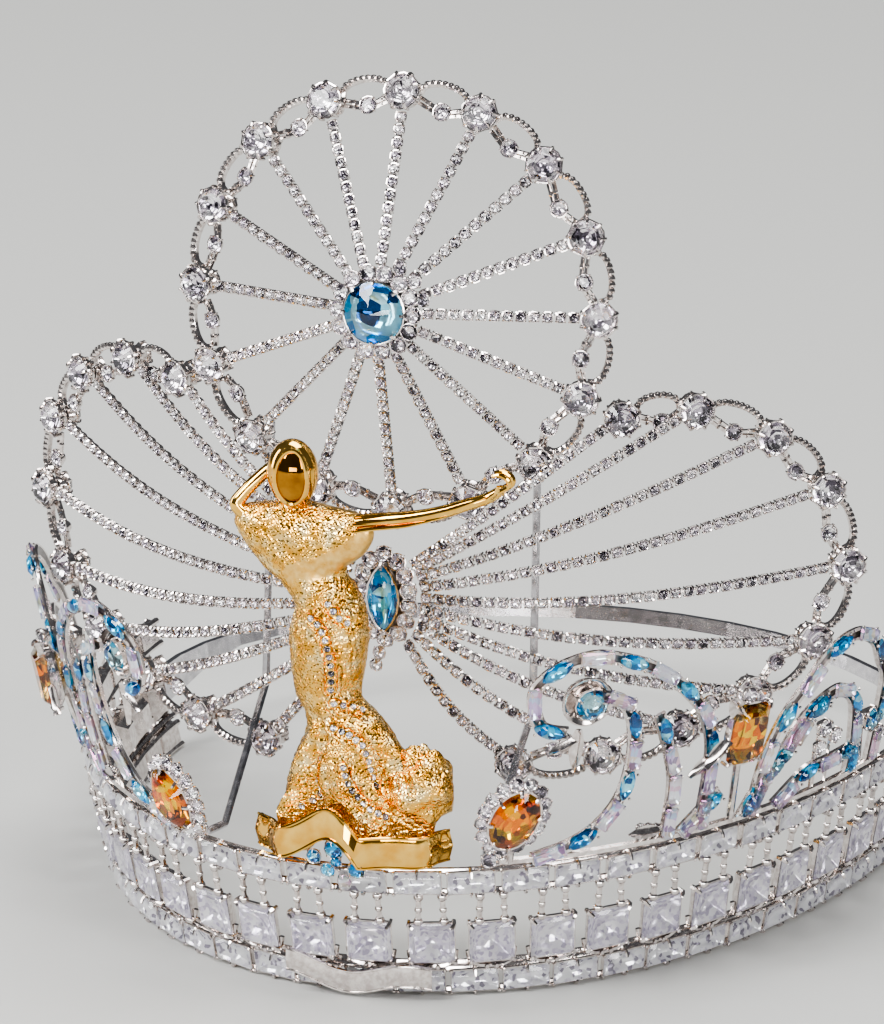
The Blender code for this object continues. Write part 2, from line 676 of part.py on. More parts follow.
def build_amber(label, stem_angle, angle, share, lean, with_halo):
    """An oval amber stone with a second one behind it, on a short stem over the band."""
    height = BAND_TOP + share * SCROLL_RISE
    frame = band_frame(radians(angle), height, AMBER_STAND_OFF, radians(lean))
    long, wide, deep = AMBER_HALF_LENGTH, AMBER_HALF_WIDTH, AMBER_HALF_DEPTH
    core = bmesh.new()
    extras = bmesh.new()
    add_solid(core, frame, ROUND, (
        (wide * 0.5, long * 0.5, -deep),
        (wide, long, -deep * 0.4),
        (wide, long, deep * 0.3),
        (wide * 0.55, long * 0.6, deep),
    ))
    if with_halo:
        out = HALO_STONE_RADIUS * 0.7
        build_halo(extras, frame, AMBER_HALO_COUNT, wide + out, long + out, HALO_DEPTH / 2)
    foot = band_point(radians(stem_angle), BAND_TOP + 2 * GAP + 2.5 * SCROLL_WIRE_RADIUS)
    rise = band_point(radians(angle), height, AMBER_STAND_OFF - deep * 0.3)
    add_wires(extras, [[foot, foot.lerp(rise, 0.5), rise]], SCROLL_WIRE_RADIUS)
    fused_piece(f"amber_flower_{label}", core, extras, AMBER)


def smooth_route(points, side):
    """A smooth curve through a scroll's chosen places, as evenly spaced points."""
    low = BAND_TOP + GAP + SCROLL_WIRE_RADIUS
    places = [(side * radians(a), low + SCROLL_RISE * h, SCROLL_LEAN * h) for a, h in points]
    ends = [places[0]] + places + [places[-1]]
    fine = []
    for i in range(len(places) - 1):
        p0, p1, p2, p3 = ends[i:i + 4]
        for k in range(SCROLL_STEPS):
            t = k / SCROLL_STEPS
            fine.append(band_point(*[
                0.5 * (2 * b + (c - a) * t + (2 * a - 5 * b + 4 * c - d) * t ** 2
                       + (3 * b - a - 3 * c + d) * t ** 3)
                for a, b, c, d in zip(p0, p1, p2, p3)
            ]))
    fine.append(band_point(*places[-1]))
    return fine


def point_along(route, travel, target):
    """The place at a distance along a route, with the direction there."""
    k = next((k for k in range(1, len(travel)) if travel[k] >= target), len(travel) - 1)
    share = (target - travel[k - 1]) / (travel[k] - travel[k - 1])
    return route[k - 1].lerp(route[k], share), (route[k] - route[k - 1]).normalized()


def stone_chain(route):
    """Sections of a wire that swells into a long stone, with a table, at an even spacing."""
    travel = [0.0]
    for first, second in zip(route, route[1:]):
        travel.append(travel[-1] + (second - first).length)
    count = max(1, round(travel[-1] / SCROLL_STONE_PITCH))
    spacing = travel[-1] / count
    thin = (SCROLL_WIRE_RADIUS, SCROLL_WIRE_RADIUS, SCROLL_WIRE_RADIUS)
    full = (SCROLL_STONE_HALF_WIDTH, SCROLL_STONE_HALF_WIDTH * TABLE_SHARE, SCROLL_STONE_DEPTH)
    marks = [(0.0, thin)]
    for i in range(count):
        middle = (i + 0.5) * spacing
        marks.append((middle - SCROLL_STONE_HALF_LENGTH, full))
        marks.append((middle + SCROLL_STONE_HALF_LENGTH, full))
        marks.append((middle + spacing / 2, thin))
    stations = []
    for target, (low_half, high_half, high) in marks:
        place, along = point_along(route, travel, target)
        outward = Vector((place.x / BAND_HALF_WIDTH ** 2, place.y / BAND_FRONT_REACH ** 2, 0)).normalized()
        across = along.cross(outward).normalized()
        base = place - outward * SCROLL_WIRE_RADIUS
        top = place + outward * high
        stations.append((base - across * low_half, base + across * low_half, top + across * high_half,
                         top - across * high_half))
    return stations


def build_scroll(side, label):
    """Wires bent into scrolls over the band, a long stone every few millimetres along them."""
    core = bmesh.new()
    additions = bmesh.new()
    base = BAND_TOP + GAP
    start, end = (radians(a) for a in SCROLL_FOOT_ANGLES)
    if side < 0:
        start, end = -end, -start
    wire = SCROLL_WIRE_RADIUS
    add_band_strip(core, start, end, base, base + 2 * wire, -wire, wire, 10)
    for curve in SCROLL_CURVES:
        add_strip(additions, stone_chain(smooth_route(curve, side)))
    bowl_height = BAND_TOP + GAP + SCROLL_RISE * BOWL_SHARE
    bowl = band_frame(side * radians(BOWL_ANGLE), bowl_height)
    add_solid(additions, bowl, ROUND, [
        (BOWL_RADIUS * wide, BOWL_RADIUS * wide, BOWL_RADIUS * high) for wide, high in BOWL_RINGS
    ])
    fused_piece(f"scroll_{label}", core, additions, AQUA)


def figure_place(x, y, z):
    """A point given in shares of the figure's height, from the middle of its foot."""
    return Vector((x * FIGURE_HEIGHT, -FIGURE_FRONT + y * FIGURE_HEIGHT, FIGURE_LOW + z * FIGURE_HEIGHT))


def build_figure():
    """The gold dancer: gown, bust, neck, smooth plain head, arms and the swirl of the train."""
    gown = bmesh.new()
    extras = bmesh.new()
    layers = []
    for up, across, wide, deep in FIGURE_SECTIONS:
        layers.append([
            gown.verts.new(figure_place(across + wide * x, deep * y, up)) for x, y in polygon(FIGURE_SIDES)
        ])
    gown.faces.new(layers[0][::-1])
    gown.faces.new(layers[-1])
    for low, high in zip(layers, layers[1:]):
        for i in range(FIGURE_SIDES):
            j = (i + 1) % FIGURE_SIDES
            gown.faces.new((low[i], low[j], high[j], high[i]))
    head = Matrix.Translation(figure_place(HEAD_CENTRE[0], 0, HEAD_CENTRE[1]))
    head = head @ Matrix.Diagonal((HEAD_HALF_WIDTH, HEAD_HALF_WIDTH, HEAD_HALF_HEIGHT, 1))
    bmesh.ops.create_uvsphere(extras, u_segments=12, v_segments=8, radius=1, matrix=head)
    train = Matrix.Translation(figure_place(*TRAIN_CENTRE)) @ Matrix.Diagonal((1, 0.75, 1, 1))
    bmesh.ops.create_uvsphere(extras, u_segments=10, v_segments=7, radius=TRAIN_RADIUS, matrix=train)
    for arm in (RAISED_ARM, STRETCHED_ARM):
        route = [tuple(figure_place(*place)) + (1.25 - 0.8 * i / len(arm),) for i, place in enumerate(arm)]
        add_wires(extras, [route], ARM_RADIUS)
    fused_piece("figurine", gown, extras, GOLD)


def build_gold_ribbon():
    """A bare ribbon round the figure's foot, arched up in the middle."""
    mesh = bmesh.new()
    across, half_width, half_depth = (share * FIGURE_HEIGHT for share in FIGURE_SECTIONS[1][1:])
    clear = GAP + RIBBON_WALL
    start, end = GOLD_RIBBON_TURNS
    arch_start, arch_end = GOLD_RIBBON_ARCH_TURNS
    steps = 22
    points = []
    for i in range(steps + 1):
        degrees = start + (end - start) * i / steps
        turn = radians(degrees)
        arch_share = min(1.0, max(0.0, (degrees - arch_start) / (arch_end - arch_start)))
        lift = GOLD_RIBBON_ARCH * sin(pi * arch_share ** GOLD_RIBBON_ARCH_SKEW)
        x = across + (half_width + clear) * sin(turn)
        y = -FIGURE_FRONT - (half_depth + clear) * cos(turn)
        place = Vector((x, y, FIGURE_LOW + lift))
        points.append((place, Vector((half_depth * sin(turn), -half_width * cos(turn), 0)).normalized()))
    add_strip(mesh, ribbon_strip(points, GOLD_RIBBON_HEIGHT, RIBBON_WALL))
    piece("gold_ribbon", mesh, GOLD)


build_bar_row("bottom_row", 0.0)
build_square_row()
build_bar_row("top_row", TOP_ROW_LOW)
build_back_strip()
build_silver_ribbon()
build_wheel()
build_marquise()
for side, label in ((-1, "left"), (1, "right")):
    build_lobe(side, label)
    build_strut(side, label)
    build_scroll(side, label)
for label, facts in AMBER_FLOWERS.items():
    build_amber(label, *facts)
build_figure()
build_gold_ribbon()
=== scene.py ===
import random
from math import asin, atan2, copysign, cos, degrees, exp, pi, radians, sin

import bmesh
import bpy
from mathutils import Matrix, Vector, noise


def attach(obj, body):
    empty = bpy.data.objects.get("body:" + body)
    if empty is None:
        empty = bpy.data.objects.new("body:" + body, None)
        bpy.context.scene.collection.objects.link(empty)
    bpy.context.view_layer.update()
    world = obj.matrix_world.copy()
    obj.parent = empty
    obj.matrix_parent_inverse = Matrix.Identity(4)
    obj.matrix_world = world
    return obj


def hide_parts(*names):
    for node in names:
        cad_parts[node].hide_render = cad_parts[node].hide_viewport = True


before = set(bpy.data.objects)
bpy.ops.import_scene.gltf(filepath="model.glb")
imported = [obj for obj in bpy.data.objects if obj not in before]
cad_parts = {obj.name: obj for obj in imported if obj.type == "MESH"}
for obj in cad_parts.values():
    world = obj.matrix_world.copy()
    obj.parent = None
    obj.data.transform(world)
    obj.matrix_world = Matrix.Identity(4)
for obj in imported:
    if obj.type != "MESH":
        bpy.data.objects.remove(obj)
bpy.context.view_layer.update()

mm = 0.001
random.seed(7)


# colours, nodes and finishes

def linearColour(code):
    parts = [int(code[i:i + 2], 16) / 255 for i in (1, 3, 5)]
    return tuple(c / 12.92 if c <= 0.04045 else ((c + 0.055) / 1.055) ** 2.4 for c in parts) + (1.0,)


def feed(tree, node, inputs):
    # each input takes a link from a socket, or else a plain value
    for name, value in inputs.items():
        if isinstance(value, bpy.types.NodeSocket):
            tree.links.new(value, node.inputs[name])
        else:
            node.inputs[name].default_value = value


def addNode(tree, kind, inputs=None, **settings):
    node = tree.nodes.new(kind)
    for name, value in settings.items():
        setattr(node, name, value)
    feed(tree, node, inputs or {})
    return node


def newFinish(name):
    # the material, its nodes, its shader and the place on the object
    made = bpy.data.materials.new(name)
    made.use_nodes = True
    tree = made.node_tree
    return made, tree, tree.nodes["Principled BSDF"], addNode(tree, "ShaderNodeTexCoord").outputs["Object"]


def rampColour(tree, share, stops, **settings):
    node = addNode(tree, "ShaderNodeValToRGB", {"Fac": share})
    ramp = node.color_ramp
    for name, value in settings.items():
        setattr(ramp, name, value)
    while len(ramp.elements) < len(stops):
        ramp.elements.new(0.5)
    for element, (place, code) in zip(ramp.elements, stops):
        element.position = place
        element.color = linearColour(code)
    return node.outputs["Color"]


def platedMetal(name, codes, roughness, grain, grainHeight):
    # plate whose tone and wear drift slowly, with a fine grain
    made, tree, shader, place = newFinish(name)
    noiseOf = "ShaderNodeTexNoise"
    cloud = addNode(tree, noiseOf, {"Vector": place, "Scale": 1 / (3 * grain), "Detail": 3.0}).outputs["Fac"]
    pits = addNode(tree, noiseOf, {"Vector": place, "Scale": 1 / grain, "Detail": 2.0}).outputs["Fac"]
    dull, worn = roughness
    wear = addNode(tree, "ShaderNodeMapRange", {"Value": cloud, "To Min": dull, "To Max": worn})
    bump = addNode(tree, "ShaderNodeBump", {"Height": pits, "Strength": 0.35, "Distance": grainHeight})
    feed(tree, shader, {
        "Base Color": rampColour(tree, cloud, [(0.35, codes[0]), (0.65, codes[1])]),
        "Roughness": wear.outputs["Result"],
        "Normal": bump.outputs["Normal"],
        "Metallic": 1.0,
    })
    return made


def crystal(name, codes, film):
    # clear glass with a slight drift of tint; film is the thickness of a rainbow coat in nanometres
    made, tree, shader, place = newFinish(name)
    cloud = addNode(tree, "ShaderNodeTexNoise", {"Vector": place, "Scale": 1 / (4 * mm), "Detail": 1.0})
    stops = [(0.3 + 0.4 * i / max(1, len(codes) - 1), code) for i, code in enumerate(codes)]
    feed(tree, shader, {
        "Base Color": rampColour(tree, cloud.outputs["Fac"], stops),
        "Roughness": 0.01,
        "IOR": 1.56,  # lead crystal bends light more than window glass
        "Transmission Weight": 1.0,
    })
    if film:
        feed(tree, shader, {"Thin Film Thickness": film, "Thin Film IOR": 1.9})
    return made


def foilWithPaintedLight(name, codes, facet, shine):
    # painted facet light: patches of the given size in millimetres, each with a colour of its own, the bright
    # ones painted glints and the dark ones painted dark reflections of the facets
    made, tree, shader, place = newFinish(name)
    cells = addNode(tree, "ShaderNodeTexVoronoi", {"Vector": place, "Scale": 1 / (facet * mm)})
    pick = addNode(tree, "ShaderNodeSeparateColor", {"Color": cells.outputs["Color"]})
    stops = [(i / len(codes), code) for i, code in enumerate(codes)]
    feed(tree, shader, {
        "Base Color": rampColour(tree, pick.outputs["Red"], stops, interpolation="CONSTANT"),
        "Metallic": shine,
        "Roughness": 0.08,
    })
    return made


def punchedGold(name, grain, grainHeight):
    made, tree, shader, place = newFinish(name)
    grains = addNode(tree, "ShaderNodeTexVoronoi", {"Vector": place, "Scale": 1 / grain})
    shade = addNode(tree, "ShaderNodeTexNoise", {"Vector": place, "Scale": 1 / (2.5 * mm), "Detail": 3.0})
    stops = [(0.3, "#DB9A34"), (0.5, "#F2BF60"), (0.7, "#FFE3A2")]
    bump = addNode(tree, "ShaderNodeBump", {"Height": grains.outputs["Distance"], "Strength": 1.0,
                                            "Distance": grainHeight}, invert=True)
    feed(tree, shader, {
        "Base Color": rampColour(tree, shade.outputs["Fac"], stops),
        "Normal": bump.outputs["Normal"],
        "Metallic": 1.0,
        "Roughness": 0.17,
    })
    return made


metals = {  # two tones, roughness from and to, size and height of the grain
    # rhodium over brass, tumbled bright: a slightly warm white metal
    "rhodiumPlate": (("#C9C0BC", "#EEE7E3"), (0.08, 0.20), 0.35 * mm, 0.02 * mm),
    # the same plate behind stones, its colour painted darker as shade; its higher roughness is dull from the
    # casting
    "castBack": (("#6E6967", "#969090"), (0.30, 0.45), 0.3 * mm, 0.04 * mm),
    # nickel rod, drawn and polished: grey, with a sheen along it
    "nickelRod": (("#A9A7AA", "#CBC9CC"), (0.14, 0.26), 0.6 * mm, 0.01 * mm),
    # nickel strip, rolled and polished: a cool mirror with faint roll marks
    "nickelStrip": (("#C2C0C4", "#DAD8DA"), (0.12, 0.22), 0.5 * mm, 0.01 * mm),
    # burnished gold plate: a deep mirror
    "burnishedGold": (("#E5AC4C", "#F6CB70"), (0.05, 0.12), 1.2 * mm, 0.02 * mm),
    # the same plate, polished: a mirror painted brown and darker as a dark reflection, for the polished face
    "deepGold": (("#8F5F22", "#B27E34"), (0.03, 0.08), 1.2 * mm, 0.01 * mm),
    # gold left as cast and brushed over: soft, without sparks
    "satinGold": (("#E3AE58", "#F6D084"), (0.24, 0.34), 0.5 * mm, 0.03 * mm),
}
finishes = {name: platedMetal(name, *facts) for name, facts in metals.items()}
# gold over a cast surface punched all over: each grain throws its own spark
finishes["castGold"] = punchedGold("castGold", 0.75 * mm, 0.3 * mm)

cuts = {  # tints of the glass, its rainbow coat; colours of the foil behind, which carry painted facet light, size of its fields and its shine
    # clear lead crystal, silvered: white patches are painted glints beside grey ones painted as dark
    # reflections of the facets
    "clear": (("#FFFFFF", "#FBF6FA"), 0.0,
              ("#FFFFFF", "#EFEAF0", "#FFFFFF", "#57535C", "#F6F1F5", "#B4ADB8"), 1.1, 0.75),
    # long stones, the brightest of all, painted almost all white as glints, with a few dark steps painted as
    # dark reflections
    "ice": (("#FFFFFF", "#FAFAFF"), 0.0,
            ("#FFFFFF", "#F4F1F7", "#FFFFFF", "#9A94A2", "#FFFFFF", "#FFFFFF", "#E4E0EA", "#FFFFFF"),
            0.7, 0.35),
    # square stones, foiled in a milky silver that reads almost white, with greyer patches painted as facet
    # shade
    "frost": (("#FFFFFF", "#F6F2FC"), 0.0,
              ("#FFFFFF", "#F0ECF6", "#FFFFFF", "#C6C0D0", "#FFFFFF", "#E6E1ED"), 0.8, 0.4),
    # crystal with a rainbow coat: it turns from lilac to rose and blue; the foil repeats these tints, with
    # white patches as painted glints and one dark patch as a painted dark reflection
    "aurora": (("#FFF4FB", "#F4F8FF", "#FFFFFF"), 420.0,
               ("#FFFFFF", "#DCCBF3", "#FFFFFF", "#F9D2E1", "#8B84A8", "#FFFFFF", "#C2E0F8", "#F5E6CC"),
               1.4, 0.4),
    # blue glass over foil: light steps beside deep ones, painted as glints and dark reflections of the facets
    "aqua": (("#C6F1FB", "#A2E4F5"), 0.0,
             ("#7FE0FA", "#109FDE", "#E6FBFF", "#08588E", "#35BDF0"), 1.4, 0.6),
    # the same over a foil in broad fields of painted light and dark blue, for the big round stone
    "sky": (("#D6F5FC", "#B4EAF8"), 0.0,
            ("#35C8F5", "#F2FDFF", "#0A6FB0", "#12A6E4", "#C4F0FC", "#063C6C"), 2.9, 0.7),
    # topaz coloured glass over foil: flashes of yellow painted as glints, in brown painted as shade
    "amber": (("#FFE49C", "#FFD67A"), 0.0,
              ("#FFCE00", "#F59200", "#FFEE50", "#5C2A00", "#FFAC00", "#E07C00"), 1.6, 0.8),
}
for name, (tints, film, paintedFacetLight, facet, shine) in cuts.items():
    finishes[name + "Crystal"] = crystal(name + "Crystal", tints, film)
    # each cut's foil carries its painted facet light: painted glints and painted dark reflections
    finishes[name + "Foil"] = foilWithPaintedLight(name + "Foil", paintedFacetLight, facet, shine)
flatCut = {name for name in finishes if "Crystal" in name or "Foil" in name}
print("finishes made")


# pieces are gathered from shapes, each a pair of point and face lists

corners = ((-1, -1), (-1, 1), (1, -1), (1, 1))


def newPiece():
    return {"points": [], "faces": [], "finish": []}


def addShape(piece, shape, finish, matrix=None):
    points, faces = shape
    first = len(piece["points"])
    piece["points"] += [matrix @ Vector(p) for p in points] if matrix else points
    piece["faces"] += [[first + i for i in face] for face in faces]
    piece["finish"] += list(finish) if isinstance(finish, (list, tuple)) else [finish] * len(faces)


def addPlated(piece, shape, matrix=None):
    addShape(piece, shape, "rhodiumPlate", matrix)


def facingOut(points, faces):
    work = bmesh.new()
    made = [work.verts.new(p) for p in points]
    for face in faces:
        work.faces.new([made[i] for i in face])
    bmesh.ops.recalc_face_normals(work, faces=work.faces)
    work.verts.index_update()
    found = [[v.index for v in face.verts] for face in work.faces]
    work.free()
    return points, found


def addObject(name, data):
    made = bpy.data.objects.new(name, data)
    bpy.context.scene.collection.objects.link(made)
    return made


def placePiece(name, piece, stands=()):
    mesh = bpy.data.meshes.new(name)
    mesh.from_pydata([tuple(p) for p in piece["points"]], [], piece["faces"])
    used = sorted(set(piece["finish"]))
    for finish in used:
        mesh.materials.append(finishes[finish])
    mesh.polygons.foreach_set("material_index", [used.index(f) for f in piece["finish"]])
    mesh.polygons.foreach_set("use_smooth", [f not in flatCut for f in piece["finish"]])
    mesh.update()
    mesh.set_sharp_from_angle(angle=radians(38))
    made = addObject(name, mesh)
    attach(made, "root")
    if stands:
        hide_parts(*stands)


def loft(rings, closed=True):
    # rings of equal length joined one to the next, with the ends filled
    count = len(rings[0])
    points = [p for ring in rings for p in ring]
    faces = []
    for k in range(len(rings) - 1):
        for i in range(count):
            j = (i + 1) % count
            faces.append([k * count + i, k * count + j, (k + 1) * count + j, (k + 1) * count + i])
    if closed:
        faces.append(list(range(count))[::-1])
        faces.append([(len(rings) - 1) * count + i for i in range(count)])
    return points, faces


def circle(count, turn=0.0):
    return [(cos(2 * pi * i / count + turn), sin(2 * pi * i / count + turn)) for i in range(count)]


def prism(outline, levels):
    return facingOut(*loft([[(x * a, y * b, z) for x, y in outline] for a, b, z in levels]))


def turned(sides, levels, turn=0.0, unit=mm):
    # a round cup or plate; each level is a radius and a height
    return prism(circle(sides, turn), [(r * unit, r * unit, z * unit) for r, z in levels])


def oval(sides, halfX, halfY):
    return [(halfX * x, halfY * y) for x, y in circle(sides, pi / sides)]


def shift(x, y, z):
    # in millimetres
    return Matrix.Translation((x * mm, y * mm, z * mm))


def spun(turn):
    return Matrix.Rotation(turn, 4, "Z")


def lengths(route):
    # the way walked along a route up to each of its points
    travel = [0.0]
    for first, second in zip(route, route[1:]):
        travel.append(travel[-1] + (second - first).length)
    return travel


def reached(travel, target):
    # the number of the first point at or past a walked length
    return next(k for k, length in enumerate(travel) if length >= target)


def pointAt(route, travel, target):
    # the point at a walked length, and the number of the next point of the route
    k = next(k for k in range(1, len(travel)) if travel[k] >= target or k == len(travel) - 1)
    return route[k - 1].lerp(route[k], (target - travel[k - 1]) / (travel[k] - travel[k - 1])), k


def tube(route, radius, sides=6, taper=None, flat=1.0, normal=None):
    # a wire along points; taper is each point's share of the radius, flat squeezes it along the normal
    rings = []
    count = len(route)
    side = None
    for i, point in enumerate(route):
        point = Vector(point)
        along = (Vector(route[min(i + 1, count - 1)]) - Vector(route[max(i - 1, 0)])).normalized()
        if normal is not None:
            up = (normal - along * normal.dot(along)).normalized()
        else:
            guess = side if side is not None else Vector((0.3, 0.2, 1)).normalized()
            if abs(guess.dot(along)) > 0.95:
                guess = Vector((1, 0.1, 0))
            up = (guess - along * guess.dot(along)).normalized()
        side = up
        across = along.cross(up)
        r = radius * (taper[i] if taper else 1)
        rings.append([point + (across * cos(t) + up * sin(t) * flat) * r
                      for t in (2 * pi * (k + 0.5) / sides for k in range(sides))])
    return loft(rings)


def smoothBetween(p0, p1, p2, p3, t):
    # the point at share t between p1 and p2 of a curve through all four
    return [0.5 * (2 * b + (c - a) * t + (2 * a - 5 * b + 4 * c - d) * t ** 2
                   + (3 * b - a - 3 * c + d) * t ** 3)
            for a, b, c, d in zip(p0, p1, p2, p3)]


def smoothTable(rows, at):
    # a smooth value between the rows of a table, whose first column is the height
    k = next((k for k in range(1, len(rows)) if rows[k][0] >= at), len(rows) - 1)
    a, b, c, d = rows[max(k - 2, 0)], rows[k - 1], rows[k], rows[min(k + 1, len(rows) - 1)]
    t = min(1.0, max(0.0, (at - b[0]) / (c[0] - b[0])))
    return smoothBetween(a[1:], b[1:], c[1:], d[1:], t)


def smoothRoute(places, steps=6):
    ends = [places[0], *places, places[-1]]
    fine = [smoothBetween(*ends[i:i + 4], k / steps) for i in range(len(places) - 1) for k in range(steps)]
    return [Vector(p) for p in fine + [places[-1]]]


def rod(start, end, radius, sides=6):
    return tube([start, start.lerp(end, 0.5), end], radius, sides)


def ball(radius, sides=6, levels=4):
    rings = []
    for k in range(1, levels):
        wide, z = radius * sin(pi * k / levels), -radius * cos(pi * k / levels)
        rings.append([(wide * x, wide * y, z) for x, y in circle(sides)])
    points = [p for ring in rings for p in ring] + [(0, 0, -radius), (0, 0, radius)]
    faces = []
    for k in range(levels - 2):
        for i in range(sides):
            j = (i + 1) % sides
            faces.append([k * sides + i, k * sides + j, (k + 1) * sides + j, (k + 1) * sides + i])
    last = (levels - 2) * sides
    for i in range(sides):
        j = (i + 1) % sides
        faces.append([len(points) - 2, j, i])
        faces.append([len(points) - 1, last + i, last + j])
    return points, faces


def leaf(length, width, thickness, curl=0.0):
    # a ridged pointed leaf along x, its face to z; curl lifts the tip
    profile = ((1, 0), (0.3, 0.35), (0, 1), (-0.3, 0.35), (-1, 0), (0, -0.4))
    rings = []
    for k in range(9):
        share = k / 8
        half = width / 2 * max(0.06, sin(pi * (0.12 + 0.86 * share)) ** 0.8)
        x, z = length * share, curl * share ** 2
        rings.append([(x, half * y, z + thickness * up) for y, up in profile])
    return facingOut(*loft(rings))


# cut stones: girdle at height 0, table up, back down; each face says crown or back

def brilliant(outline, table, crown, back):
    # an even outline with star, kite and girdle facets above and below
    count = len(outline)
    half = count // 2
    points = [(x, y, 0) for x, y in outline]
    points += [(outline[2 * k][0] * table, outline[2 * k][1] * table, crown) for k in range(half)]
    points += [(outline[2 * k + 1][0] * 0.5, outline[2 * k + 1][1] * 0.5, -back * 0.6) for k in range(half)]
    points.append((0, 0, -back))
    faces, parts = [], []
    for k in range(half):
        a, b, c = 2 * k, 2 * k + 1, (2 * k + 2) % count
        t, u = count + k, count + (k + 1) % half
        low, lower = count + half + k, count + half + (k + 1) % half
        faces += [[a, b, t], [t, b, u], [b, c, u]]
        faces += [[a, low, b], [b, low, c], [low, lower, c], [low, len(points) - 1, lower]]
        parts += ["crown"] * 3 + ["back"] * 4
    faces.append([count + k for k in range(half)])
    parts.append("crown")
    return facingOut(points, faces), parts


def stepCut(halfX, halfY, corner, table, crown, back, keel):
    # straight steps round a table; the back closes on a keel
    def level(x, y, z):
        c = corner * min(x, y) / min(halfX, halfY)
        return [(x - c, y, z), (c - x, y, z), (-x, y - c, z), (-x, c - y, z), (c - x, -y, z), (x - c, -y, z),
                (x, c - y, z), (x, y - c, z)]
    steps = [
        (halfX * keel * 0.5, halfY * 0.04, -back),
        (halfX * (0.5 + keel * 0.3), halfY * 0.5, -back * 0.62),
        (halfX, halfY, 0),
        (halfX - halfY * 0.2, halfY * 0.8, crown * 0.6),
        (halfX * table[0], halfY * table[1], crown),
    ]
    rings = [level(*step) for step in steps]
    points, faces = facingOut(*loft(rings))
    parts = ["back" if max(points[i][2] for i in face) <= 1e-9 else "crown" for face in faces]
    return (points, faces), parts


def addStone(piece, stone, colour, matrix):
    shape, parts = stone
    # crown faces take the glass, back faces the foil with painted glints and painted dark reflections
    addShape(piece, shape, [colour + ("Crystal" if part == "crown" else "Foil") for part in parts], matrix)


def addClaw(piece, matrix, foot, rim, tip, radius, unit=mm):
    # a bent prong: foot, rim and tip are (distance out, height), tip bent over the stone
    route = [Vector((d, 0, h)) * unit for d, h in (foot, rim, tip)]
    route.insert(2, route[1].lerp(route[2], 0.35) + Vector((0, 0, radius * 0.35)) * unit)
    addPlated(piece, tube(route, radius * unit, 5, (1, 1, 0.95, 0.7)), matrix)


def chaton(piece, place, radius, colour="clear", claws=4, sides=12, depth=1.0):
    # a foiled round stone in a claw cup whose girdle lies at height 0
    stone = brilliant(oval(sides, radius, radius), 0.56, radius * 0.46, radius * 0.62)
    addStone(piece, stone, colour, place)
    profile = ((0.5, -0.95 * depth), (0.88, -0.5), (1.07, -0.12), (1.07, 0.04), (1.0, 0.05), (0.42, -0.68))
    addPlated(piece, turned(12, profile, unit=radius), place)
    for i in range(claws):
        spin = place @ spun(2 * pi * (i + 0.5) / claws)
        addClaw(piece, spin, (1.0486, -0.35), (1.07, 0.1), (0.8, 0.34), 0.1, radius)


# the band's plan: an ellipse, longer in front, whose wall leans out

band = {
    "halfWidth": 79.6 * mm,
    "frontReach": 113.8 * mm,
    "backReach": 64.0 * mm,
    "flare": 0.204,
    "shift": 28.127 * mm,
    "rowEnd": radians(96),
    "top": 27.6 * mm,
}


def bandPoint(angle, height, out=0.0):
    spread = band["flare"] * height + out
    reach = band["frontReach"] if cos(angle) > 0 else band["backReach"]
    across, back = (band["halfWidth"] + spread) * sin(angle), (reach + spread) * cos(angle)
    return Vector((across, band["shift"] - back, height))


def placed(origin, normal, up, turn=0.0):
    z = Vector(normal).normalized()
    x = Vector(up).cross(z).normalized()
    matrix = Matrix((x, z.cross(x), z)).transposed().to_4x4()
    matrix.translation = origin
    return matrix @ spun(turn)


def bandFrame(angle, height, out=0.0, turn=0.0):
    step = 0.01
    along = bandPoint(angle + step, height, out) - bandPoint(angle - step, height, out)
    rise = bandPoint(angle, height + step) - bandPoint(angle, height)
    return placed(bandPoint(angle, height, out), along.cross(rise), rise, turn)


def evenAngles(pitch, height):
    steps = 600
    angles = [band["rowEnd"] * (2 * i / steps - 1) for i in range(steps + 1)]
    points = [bandPoint(angle, height) for angle in angles]
    travel = lengths(points)
    count = 2 * round(travel[-1] / pitch / 2)
    return [angles[reached(travel, (i + 0.5) * travel[-1] / count)] for i in range(count)]


def addRail(piece, height, out, radius):
    # a wire all along a row
    route = [bandPoint(band["rowEnd"] * (2 * i / 90 - 1), height, out) for i in range(91)]
    addPlated(piece, tube(route, radius, 6))


# rows of long stones, top and bottom

barRow = {
    "height": 6.0 * mm,
    "pitch": 10.3 * mm,
    "halfLength": 4.5 * mm,
    "halfHeight": 2.35 * mm,
    "clawRadius": 0.36,
    "cornerBall": 0.42 * mm,
    "railWire": 0.65 * mm,
    "extras": (  # under the gold ribbon's arch: degrees, height, distance out, radius in millimetres, colour
        (-2.5, 29.1, 0.6, 1.5, "aqua"), (0.3, 31.0, 0.6, 1.9, "aqua"), (-0.4, 27.0, 1.9, 1.5, "aqua"),
        (3.4, 27.4, 1.9, 1.7, "aqua"), (1.7, 24.9, 2.0, 1.4, "aurora"), (0.6, 28.6, 0.9, 1.1, "aqua"),
    ),
}


